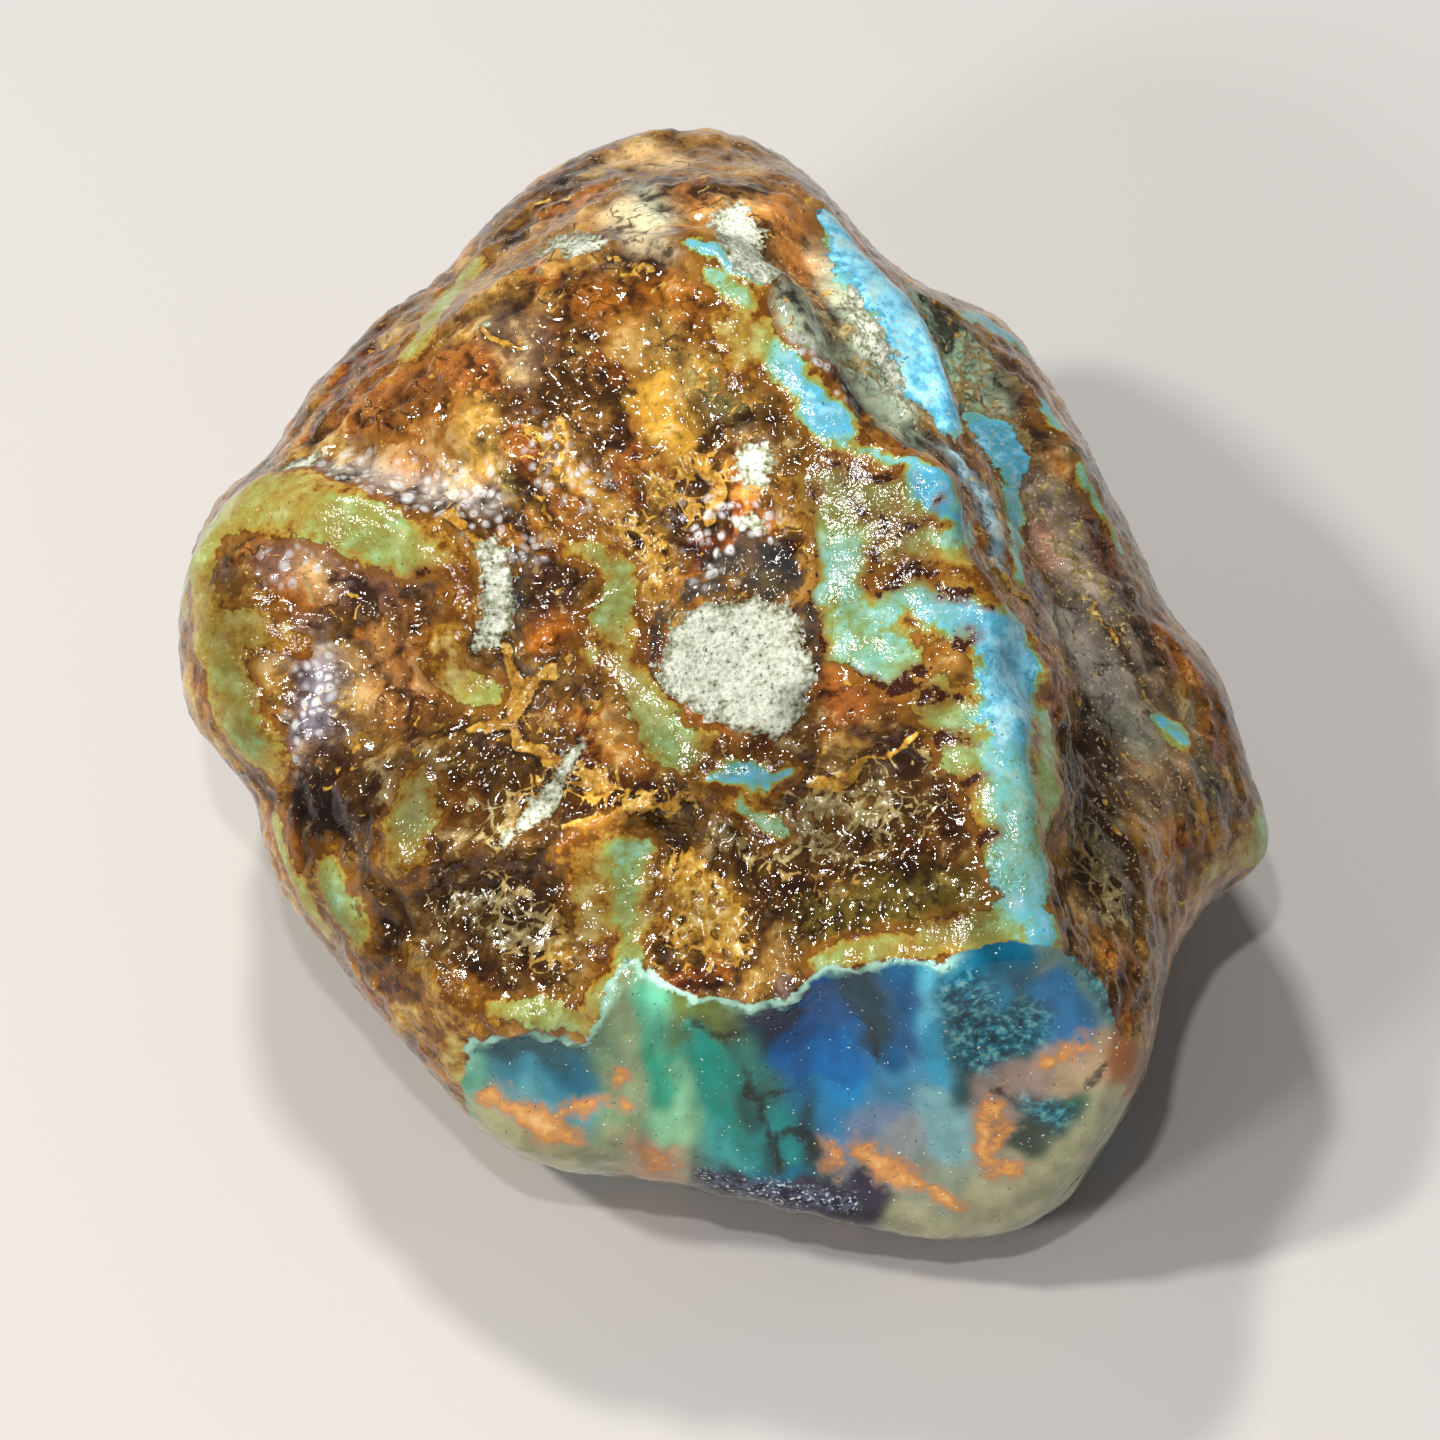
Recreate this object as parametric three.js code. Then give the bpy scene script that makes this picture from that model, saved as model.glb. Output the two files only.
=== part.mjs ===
// A lump of rough opal in its brown host, as it broke out of the seam: one stone, one solid.
// Millimetres, +Z up. The stone rests on the flat of its underside, and the origin is the point
// of that flat right under the middle of the stone. Its show side, with the crusted face and
// the clear broken face, looks to the front (-Y) and up.
import * as THREE from "three";
import { ImprovedNoise } from "three/addons/math/ImprovedNoise.js";
import { mergeVertices } from "three/addons/utils/BufferGeometryUtils.js";

// Driving dimensions.
const MIDDLE_HEIGHT = 14; // the stone's middle, above the surface that it rests on
const SHOW_ELEVATION = 50; // degrees above the horizon that the show side looks to
const EYE_DISTANCE = 340; // places on the show side are given as seen from this far away
const FACET_SHARPNESS = 15; // how crisply the facets meet: higher is crisper
const RIM_SHARPNESS = 26; // how crisply they meet the stone's outline
const MESH_DETAIL = 19; // cuts of each edge of the starting icosahedron
const SHOW_SIDE_SHARE = 0.16; // how much the mesh is drawn together on the show side
const SIGHT_START = 30; // sight lines are followed from this far out of the middle
const SIGHT_STEP = 0.05; // in steps of this length
const LEAST_SLANT = 0.02; // sight lines steeper than this count as this steep
const FORM_SPREAD = 3; // a form has faded out this many widths from its path
const CURVE_POINTS = 4000; // points taken along the outline's curve
const FLAT_FADE = 3; // forms and lumps fade out over this height above the resting flat
const BREAK_CALM = 0.75; // share of the lumps that the clean broken face lacks

const degrees = THREE.MathUtils.degToRad;
const middle = new THREE.Vector3(0, 0, MIDDLE_HEIGHT);

// The show side's own directions: to the right, up the face, and out of it.
const tilt = degrees(SHOW_ELEVATION);
const across = new THREE.Vector3(1, 0, 0);
const upward = new THREE.Vector3(0, Math.sin(tilt), Math.cos(tilt));
const outward = new THREE.Vector3(0, -Math.cos(tilt), Math.sin(tilt));

// The stone's outline as the eye sees it, right and up of its middle, clockwise from the far lobe.
const OUTLINE = [
  [-1.7, 24.0], [0.5, 23.4], [3.7, 21.0], [5.1, 19.3], [6.6, 17.8], [8.4, 16.7], [10.7, 15.9],
  [12.4, 14.7], [14.0, 12.0], [15.4, 9.0], [16.8, 6.2], [17.9, 3.7], [19.7, 1.8], [21.0, -0.2],
  [22.2, -2.4], [23.0, -4.6], [22.8, -6.3], [20.6, -7.1], [18.2, -9.6], [17.4, -12.2],
  [16.9, -14.5], [15.0, -17.9], [12.7, -20.7], [8.9, -21.9], [4.2, -21.3], [1.7, -20.5],
  [-3.3, -19.0], [-7.3, -18.4], [-9.5, -17.0], [-11.3, -15.0], [-14.2, -11.9], [-16.3, -9.2],
  [-18.2, -6.6], [-18.8, -4.0], [-20.2, -2.0], [-21.7, 0.1], [-21.8, 5.1], [-21.4, 7.6],
  [-18.7, 9.7], [-16.3, 13.4], [-13.5, 16.1], [-11.3, 17.3], [-9.8, 19.1], [-5.5, 22.7],
];

// The faces that the lump broke to: azimuth (0 right, 90 back, -90 front), elevation, and
// distance from the middle.
const BREAK_FACE = { name: "clear broken face", azimuth: -93, elevation: 6, distance: 18.2 };
const FACETS = [
  BREAK_FACE,
  { name: "crusted face", azimuth: -118, elevation: 56, distance: 11.8 },
  { name: "right flank", azimuth: -8, elevation: 38, distance: 16.4 },
  { name: "upper right", azimuth: 15, elevation: 45, distance: 16.0 },
  { name: "lower left", azimuth: -140, elevation: 20, distance: 17.8 },
  { name: "upper left", azimuth: 160, elevation: 50, distance: 18.2 },
  { name: "far lobe", azimuth: 84, elevation: 62, distance: 19.9 },
  { name: "right end", azimuth: -8, elevation: 0, distance: 26.0 },
  { name: "back", azimuth: 98, elevation: 4, distance: 24.6 },
  { name: "back, left", azimuth: 148, elevation: -2, distance: 22.6 },
  { name: "back, right", azimuth: 42, elevation: -6, distance: 21.5 },
  { name: "under the front", azimuth: -100, elevation: -40, distance: 20.5 },
  { name: "under the right", azimuth: 10, elevation: -36, distance: 19.0 },
  { name: "under the left", azimuth: 195, elevation: -36, distance: 18.5 },
  { name: "under the back", azimuth: 95, elevation: -42, distance: 19.0 },
  { name: "underside", azimuth: 0, elevation: -90, distance: 15.0 },
];

// Ridges (height above 0) and hollows (below 0) of the show side. Each runs through places
// right and up of the middle, as the eye sees them, and fades out over its width.
const SHOW_FORMS = [
  { name: "crest along the blue band", width: 1.3, height: 0.8,
    path: [[12.3, -9.3], [11.7, -5.7], [11.1, -0.5], [10.5, 2.3], [9.1, 5.9], [8.3, 8.3]] },
  { name: "crest above it", width: 1.2, height: 0.6,
    path: [[8.3, 8.3], [5.9, 10.7], [4.7, 12.3], [3.1, 15.1], [2.7, 16.7], [-0.9, 18.2]] },
  { name: "hollow of the right flank", width: 2.2, height: -1.3,
    path: [[13.5, 7.5], [15.1, 2.7], [15.9, -2.9], [15.1, -6.9]] },
  { name: "rib down the flank", width: 0.9, height: 0.5,
    path: [[9.9, 4.3], [13.3, 0.5], [15.1, -2.1], [16.9, -5.3]] },
  { name: "groove down the flank", width: 0.9, height: -0.6,
    path: [[11.9, -2.7], [13.7, -5.7], [15.5, -9.1]] },
  { name: "lower rib of the flank", width: 1.0, height: 0.5, path: [[13.1, -7.1], [15.1, -11.3]] },
  { name: "dip in the crest", width: 1.3, height: -0.6, path: [[11.1, 1.1]] },
  { name: "knob on the crest", width: 1.3, height: 0.6, path: [[11.6, -3.1]] },
  { name: "outer lobe of the flank", width: 1.8, height: 0.8,
    path: [[18.6, 1.9], [20.2, -1.7], [21.2, -4.5]] },
  { name: "notch under the tip", width: 1.4, height: -0.9, path: [[20.6, -7.6], [18.2, -8.6]] },
  { name: "swell of the left shoulder", width: 5.0, height: 0.9, path: [[-17.6, 3.6]] },
  { name: "rim of the left shoulder", width: 1.4, height: 0.9,
    path: [[-20.7, 5.9], [-19.3, 8.0], [-16.5, 8.2], [-12.9, 7.2], [-10.5, 5.1], [-9.9, 2.9]] },
  { name: "hollow of the left shoulder", width: 2.3, height: -1.6,
    path: [[-17.4, 2.6], [-15.4, 0.6]] },
  { name: "glossy valley above the shoulder", width: 1.1, height: -0.9,
    path: [[-15.3, 9.9], [-12.5, 9.6], [-9.7, 9.0], [-8.3, 7.5]] },
  { name: "crease below the shoulder", width: 1.0, height: -1.0,
    path: [[-20.4, -3.4], [-17.4, -2.6], [-13.4, -0.6], [-9.9, 1.3]] },
  { name: "smooth swell, upper left", width: 3.2, height: 0.6, path: [[-13.4, 12.9], [-8.9, 13.6]] },
  { name: "hollow above the clay", width: 2.2, height: -0.5, path: [[-2.6, 7.6], [1.6, 6.0]] },
  { name: "clay's bed", width: 2.8, height: -0.7, path: [[0.5, 1.7]] },
  { name: "knob beside the middle band", width: 1.5, height: 0.5, path: [[-6.7, 4.5]] },
  { name: "ledge", width: 0.9, height: 0.7,
    path: [[-11.7, -6.1], [-8.1, -5.3], [-4.9, -4.5], [-0.9, -2.9], [4.9, -0.5], [8.1, 0.7]] },
  { name: "trough under the ledge", width: 2.0, height: -1.0,
    path: [[-9.1, -8.1], [-4.1, -7.3], [0.3, -5.7], [3.9, -4.9], [6.5, -3.7]] },
  { name: "pit of the dark round patch", width: 1.9, height: -0.7, path: [[-15.7, -4.9]] },
  { name: "green boss, lower left", width: 1.5, height: 0.6, path: [[-12.7, -4.9], [-12.9, -6.5]] },
  { name: "cyan ridge", width: 1.2, height: 1.0,
    path: [[4.3, 19.5], [5.9, 17.1], [7.1, 15.3], [8.7, 12.3]] },
  { name: "valley left of the cyan ridge", width: 1.2, height: -0.9,
    path: [[3.3, 18.3], [4.7, 15.5], [6.5, 12.7], [7.7, 10.7]] },
  { name: "valley right of the cyan ridge", width: 1.1, height: -0.9,
    path: [[8.3, 16.1], [10.1, 13.3], [11.1, 11.1]] },
  { name: "hump, upper right", width: 1.9, height: 0.7, path: [[12.1, 13.1], [13.1, 10.5]] },
  { name: "saddle under the far lobe", width: 1.6, height: -0.6,
    path: [[-6.1, 19.1], [-1.9, 19.9], [1.7, 19.1]] },
  { name: "crusted edge of the break, left", width: 0.9, height: 0.6,
    path: [[-11.3, -11.3], [-9.7, -12.5], [-5.7, -12.1], [-3.9, -10.5]] },
  { name: "crusted edge of the break, right", width: 0.9, height: 0.7,
    path: [[-3.9, -10.5], [-1.3, -11.5], [3.1, -11.1], [4.9, -10.1], [8.3, -10.1], [12.3, -9.3]] },
  { name: "left scoop of the break", width: 2.5, height: -1.0, path: [[-8.1, -14.7], [-6.3, -14.5]] },
  { name: "rib under the green stub", width: 0.9, height: 0.5, path: [[-3.9, -11.1], [-4.1, -17.5]] },
  { name: "streaked scoop", width: 1.9, height: -0.6, path: [[-1.3, -13.9], [-1.1, -16.1]] },
  { name: "rib beside the deep scoop", width: 0.8, height: 0.4, path: [[1.3, -11.9], [1.5, -17.1]] },
  { name: "deep scoop", width: 3.0, height: -1.3, path: [[4.7, -13.7], [5.1, -15.7]] },
  { name: "rib beside the crystals", width: 0.9, height: 0.5, path: [[8.5, -10.9], [9.1, -15.9]] },
  { name: "crystalled hollow", width: 1.8, height: -0.6, path: [[11.5, -12.5], [13.1, -13.7]] },
  { name: "lower lip", width: 1.9, height: 0.7,
    path: [[-8.5, -17.5], [-3.9, -18.7], [4.3, -20.1], [9.7, -20.7], [13.5, -18.1]] },
];

// Ridges and hollows of the other sides, through places given by azimuth and elevation.
const SIDE_FORMS = [
  { name: "wide scoop of the back", width: 6.0, height: -1.8, path: [[118, 6], [104, 2]] },
  { name: "rib of the back", width: 1.5, height: 1.1, path: [[78, 40], [80, 18], [74, -4], [66, -24]] },
  { name: "scoop, back right", width: 4.5, height: -1.5, path: [[50, 2], [44, -10]] },
  { name: "ledge round the back", width: 1.3, height: 0.9,
    path: [[150, 22], [128, 27], [104, 24], [88, 29]] },
  { name: "groove under the ledge", width: 1.3, height: -0.8,
    path: [[152, 15], [128, 19], [106, 17], [90, 21]] },
  { name: "scoop of the left side", width: 4.2, height: -1.3, path: [[172, -8], [186, -14]] },
  { name: "rib of the left side", width: 1.4, height: 0.9, path: [[158, 12], [162, -10], [157, -32]] },
  { name: "groove, left of the break", width: 1.3, height: -0.8, path: [[214, -2], [222, -20], [228, -38]] },
  { name: "scoop, right side", width: 4.0, height: -1.2, path: [[8, -16], [-8, -22]] },
  { name: "ledge, right side", width: 1.2, height: 0.8, path: [[28, 8], [10, -2], [-14, -10], [-32, -20]] },
  { name: "hollow under the break", width: 3.4, height: -1.0, path: [[-96, -34], [-80, -38]] },
  { name: "boss, back left", width: 2.6, height: 0.9, path: [[140, -16]] },
  { name: "boss, back right", width: 2.4, height: 0.8, path: [[26, 24]] },
];

// Rough lumps over the whole stone: their size, and their height above and below the plain form.
const LUMPS = [
  { size: 6.5, height: 0.9 },
  { size: 2.9, height: 0.5 },
];

// Direction from the middle, from its angles.
function directionOf(azimuth, elevation) {
  const a = degrees(azimuth);
  const e = degrees(elevation);
  return new THREE.Vector3(Math.cos(e) * Math.cos(a), Math.cos(e) * Math.sin(a), Math.sin(e));
}

// The outline's reach at each whole degree round the middle.
function reachByDegree(points) {
  const curve = new THREE.CatmullRomCurve3(
    points.map(([u, v]) => new THREE.Vector3(u, v, 0)),
    true,
    "centripetal",
  );
  const reach = new Array(360).fill(0);
  for (const p of curve.getPoints(CURVE_POINTS)) {
    const degree = Math.round(THREE.MathUtils.radToDeg(Math.atan2(p.y, p.x)) + 360) % 360;
    reach[degree] = Math.max(reach[degree], Math.hypot(p.x, p.y));
  }
  return reach;
}

const outlineReach = reachByDegree(OUTLINE);
const facets = FACETS.map((facet) => ({
  normal: directionOf(facet.azimuth, facet.elevation),
  distance: facet.distance,
  isBreak: facet === BREAK_FACE,
}));

// How far the sight lines that graze the stone's outline let it reach in a direction.
function rimReach(direction) {
  const u = direction.dot(across);
  const v = direction.dot(upward);
  const turn = (THREE.MathUtils.radToDeg(Math.atan2(v, u)) + 360) % 360;
  const low = Math.floor(turn);
  const seen = THREE.MathUtils.lerp(
    outlineReach[low % 360],
    outlineReach[(low + 1) % 360],
    turn - low,
  );
  const slant = Math.hypot(u, v) + (seen * direction.dot(outward)) / EYE_DISTANCE;
  return seen / Math.max(LEAST_SLANT, slant);
}

// The lower of two reaches, rounded where they meet.
function lower(a, b) {
  return Math.pow(Math.pow(a, -RIM_SHARPNESS) + Math.pow(b, -RIM_SHARPNESS), -1 / RIM_SHARPNESS);
}

// The plain lump in a direction: how far its facets reach, how far the stone itself reaches, and
// how much of the surface there is the clear broken face. Facets are felt the more the nearer
// they are, so that they meet in rounded edges.
function plainSurface(direction) {
  let sum = 0;
  let breakPart = 0;
  for (const { normal, distance, isBreak } of facets) {
    const part = Math.pow(Math.max(0, direction.dot(normal)) / distance, FACET_SHARPNESS);
    sum += part;
    if (isBreak) breakPart = part;
  }
  const facetReach = Math.pow(sum, -1 / FACET_SHARPNESS);
  return {
    facetReach,
    reach: lower(facetReach, rimReach(direction)),
    breakShare: breakPart / sum,
  };
}

// A place on the plain lump's show side, from where the eye sees it: right and up of the middle.
// The sight line is followed inward to the surface, or to where it passes closest.
function placeSeen([right, up]) {
  const at = (depth) =>
    new THREE.Vector3()
      .addScaledVector(across, right * (1 - depth / EYE_DISTANCE))
      .addScaledVector(upward, up * (1 - depth / EYE_DISTANCE))
      .addScaledVector(outward, depth);
  let nearest = null;
  let least = Infinity;
  for (let depth = SIGHT_START; depth > -SIGHT_START; depth -= SIGHT_STEP) {
    const point = at(depth);
    const surface = point.clone().setLength(plainSurface(point.clone().normalize()).reach);
    const gap = point.length() - surface.length();
    if (gap < least) {
      least = gap;
      nearest = surface;
    }
    if (gap < 0) break;
  }
  return nearest;
}

// A place on the plain lump, from its azimuth and elevation.
function placeToward([azimuth, elevation]) {
  const direction = directionOf(azimuth, elevation);
  return direction.multiplyScalar(plainSurface(direction).reach);
}

const forms = [
  ...SHOW_FORMS.map((form) => ({ ...form, places: form.path.map(placeSeen) })),
  ...SIDE_FORMS.map((form) => ({ ...form, places: form.path.map(placeToward) })),
];

// Distance from a point to a form's path.
function distanceTo(places, point) {
  if (places.length === 1) return places[0].distanceTo(point);
  const nearest = new THREE.Vector3();
  let least = Infinity;
  for (let i = 1; i < places.length; i++) {
    new THREE.Line3(places[i - 1], places[i]).closestPointToPoint(point, true, nearest);
    least = Math.min(least, nearest.distanceTo(point));
  }
  return least;
}

const noise = new ImprovedNoise();

// What the forms and the lumps add to the plain reach at a point of the plain lump.
function relief(point, breakShare) {
  let height = 0;
  for (const { places, width, height: full } of forms) {
    const away = distanceTo(places, point) / width;
    if (away < FORM_SPREAD) height += full * Math.exp(-away * away);
  }
  const rough = 1 - BREAK_CALM * breakShare;
  for (const { size, height: full } of LUMPS)
    height += rough * full * noise.noise(point.x / size, point.y / size, point.z / size);
  return height * THREE.MathUtils.smoothstep(point.z + MIDDLE_HEIGHT, 0, FLAT_FADE);
}

function stone() {
  const geometry = new THREE.IcosahedronGeometry(1, MESH_DETAIL);
  geometry.deleteAttribute("normal");
  geometry.deleteAttribute("uv");
  const merged = mergeVertices(geometry, 1e-5);
  const position = merged.getAttribute("position");
  const direction = new THREE.Vector3();
  for (let i = 0; i < position.count; i++) {
    direction.fromBufferAttribute(position, i);
    direction.addScaledVector(outward, SHOW_SIDE_SHARE).normalize();
    const plain = plainSurface(direction);
    const point = direction.clone().multiplyScalar(plain.reach);
    const formed = plain.facetReach + relief(point, plain.breakShare);
    point.setLength(lower(formed, rimReach(direction))).add(middle);
    if (point.z < 0) point.copy(direction).multiplyScalar(MIDDLE_HEIGHT / -direction.z).setZ(0);
    position.setXYZ(i, point.x, point.y, point.z);
  }
  merged.computeVertexNormals();
  return merged;
}

const opal = new THREE.MeshStandardMaterial({ color: 0x7a4a22, roughness: 0.25, metalness: 0 });
const mesh = new THREE.Mesh(stone(), opal);
mesh.name = "opal_stone";

const specimen = new THREE.Group();
specimen.add(mesh);
export default specimen;
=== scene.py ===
# A hand specimen of rough opal in its brown host, wetted so that its colours show: one stone,
# resting on the flat of its underside.
import math
from functools import reduce

import bmesh
import bpy
import numpy as np
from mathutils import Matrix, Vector, noise
from mathutils.bvhtree import BVHTree


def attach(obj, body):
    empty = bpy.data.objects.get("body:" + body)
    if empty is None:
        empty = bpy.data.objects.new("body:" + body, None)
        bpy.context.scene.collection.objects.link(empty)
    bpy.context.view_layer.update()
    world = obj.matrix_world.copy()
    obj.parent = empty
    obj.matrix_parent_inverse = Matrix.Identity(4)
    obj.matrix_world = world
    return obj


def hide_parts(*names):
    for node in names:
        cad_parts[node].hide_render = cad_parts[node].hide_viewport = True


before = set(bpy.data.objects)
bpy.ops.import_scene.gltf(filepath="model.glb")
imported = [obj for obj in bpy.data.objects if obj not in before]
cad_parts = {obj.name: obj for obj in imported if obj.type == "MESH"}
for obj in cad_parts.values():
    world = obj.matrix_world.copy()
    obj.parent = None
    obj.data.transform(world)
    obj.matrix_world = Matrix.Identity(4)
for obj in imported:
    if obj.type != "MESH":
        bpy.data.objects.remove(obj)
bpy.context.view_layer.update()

# ------------------------------------------------------------------ the eye on the show side
# The stone is shown from the front and above, square to its crusted face. Places on that side
# are given in millimetres to the right and up of the stone's middle, as this eye sees them.
MM = 0.001
MIDDLE_HEIGHT = 14.0
SHOW_ELEVATION = math.radians(50)
EYE_DISTANCE = 340 * MM
VIEW_WIDTH = 57.6 * MM
VIEW_MIDDLE = (-0.08, -0.52)  # the middle of the view, right and up of the stone's middle
FILM_WIDTH = 36.0
NEAREST = 0.01  # metres from the eye

middle = np.array([0.0, 0.0, MIDDLE_HEIGHT])
across = np.array([1.0, 0.0, 0.0])
upward = np.array([0.0, math.sin(SHOW_ELEVATION), math.cos(SHOW_ELEVATION)])
outward = np.array([0.0, -math.cos(SHOW_ELEVATION), math.sin(SHOW_ELEVATION)])
eye = middle + outward * EYE_DISTANCE / MM

lens = bpy.data.cameras.new("eye")
lens.sensor_width = FILM_WIDTH
lens.lens = FILM_WIDTH * EYE_DISTANCE / VIEW_WIDTH
lens.clip_start = NEAREST
camera = bpy.data.objects.new("eye", lens)
camera.location = Vector((eye + across * VIEW_MIDDLE[0] + upward * VIEW_MIDDLE[1]) * MM)
camera.rotation_mode = "QUATERNION"
camera.rotation_quaternion = Vector(-outward).to_track_quat("-Z", "Y")
bpy.context.scene.collection.objects.link(camera)
bpy.context.scene.camera = camera

# ------------------------------------------------------------------ the lump's skin
# The whole stone is one piece. Its skin is a fine net of quads laid over the fixed lump from
# the middle outward, closest on the show side, where the crust is finest.
NET_CELLS = 128  # quads along each edge of the cube that the net starts from
SHOW_SIDE_SHARE = 0.35  # how much the net is drawn together on the show side
MERGE = 1e-7  # metres
ROUNDING_LEVELS = 2


def smooth_lump(node):
    """The fixed lump with its facets rounded into each other, to lay the net on."""
    shell = bmesh.new()
    shell.from_mesh(node.data)
    bmesh.ops.remove_doubles(shell, verts=shell.verts, dist=MERGE)
    mesh = bpy.data.meshes.new("rounding")
    shell.to_mesh(mesh)
    shell.free()
    holder = bpy.data.objects.new("rounding", mesh)
    bpy.context.scene.collection.objects.link(holder)
    holder.modifiers.new("round", "SUBSURF").levels = ROUNDING_LEVELS
    tree = BVHTree.FromObject(holder, bpy.context.evaluated_depsgraph_get())
    bpy.data.objects.remove(holder)
    bpy.data.meshes.remove(mesh)
    return tree


def ball_net(cells):
    """Directions and quads of a ball's net, made from the six sides of a cube."""
    line = np.tan(np.linspace(-math.pi / 4, math.pi / 4, cells + 1))
    a, b = np.meshgrid(line, line, indexing="ij")
    one = np.ones_like(a)
    sides = [(a, b, one), (b, a, -one), (one, a, b), (-one, b, a), (b, one, a), (a, -one, b)]
    points = np.concatenate([np.stack(side, -1).reshape(-1, 3) for side in sides])
    row = cells + 1
    corner = (np.arange(cells)[:, None] * row + np.arange(cells)[None, :]).ravel()
    quad = np.stack([corner, corner + row, corner + row + 1, corner + 1], -1)
    quads = np.concatenate([quad + k * row * row for k in range(6)])
    _, first, merged = np.unique(np.round(points, 6), axis=0, return_index=True, return_inverse=True)
    points = points[first]
    return points / np.linalg.norm(points, axis=1, keepdims=True), merged.reshape(-1)[quads]


lump = smooth_lump(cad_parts["opal_stone"])
net, quads = ball_net(NET_CELLS)
rays = net[:, :1] * across + net[:, 1:2] * upward + (net[:, 2:] + SHOW_SIDE_SHARE) * outward
rays /= np.linalg.norm(rays, axis=1, keepdims=True)
start = Vector(middle * MM)
skin = np.array([lump.ray_cast(start, Vector(ray))[0] for ray in rays]) / MM

mesh = bpy.data.meshes.new("rough_opal")
mesh.from_pydata((skin * MM).tolist(), [], quads.tolist())
mesh.update()
normals = np.empty(len(skin) * 3)
mesh.vertex_normals.foreach_get("vector", normals)
normals = normals.reshape(-1, 3)

# ------------------------------------------------------------------ the brown host
# Ironstone-brown host rock, glassy where opal has soaked it: rust and umber grains knitted by
# ochre and cream lace, with pearls of milky opal painted as pale dots, partly as highlights on the
# wet beads. Every mark is a row of places (right, up, half width in millimetres) that is laid over
# the skin in short steps.
STEP = 0.6  # of a laid path, in millimetres
REACH = 4.0  # marks are measured this far off, in millimetres
WOBBLES = ((1.3, 0.38), (0.5, 0.16))  # how marks waver: size and depth, in millimetres
WAVER_SEED = 7  # the same wavering on every run
NODULES = 0.62  # the host's nodules to a millimetre
SWAY = 2.2  # how far the host's grain flows about in wide bends, in millimetres
RIPPLE = 0.6  # and in small ones

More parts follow.
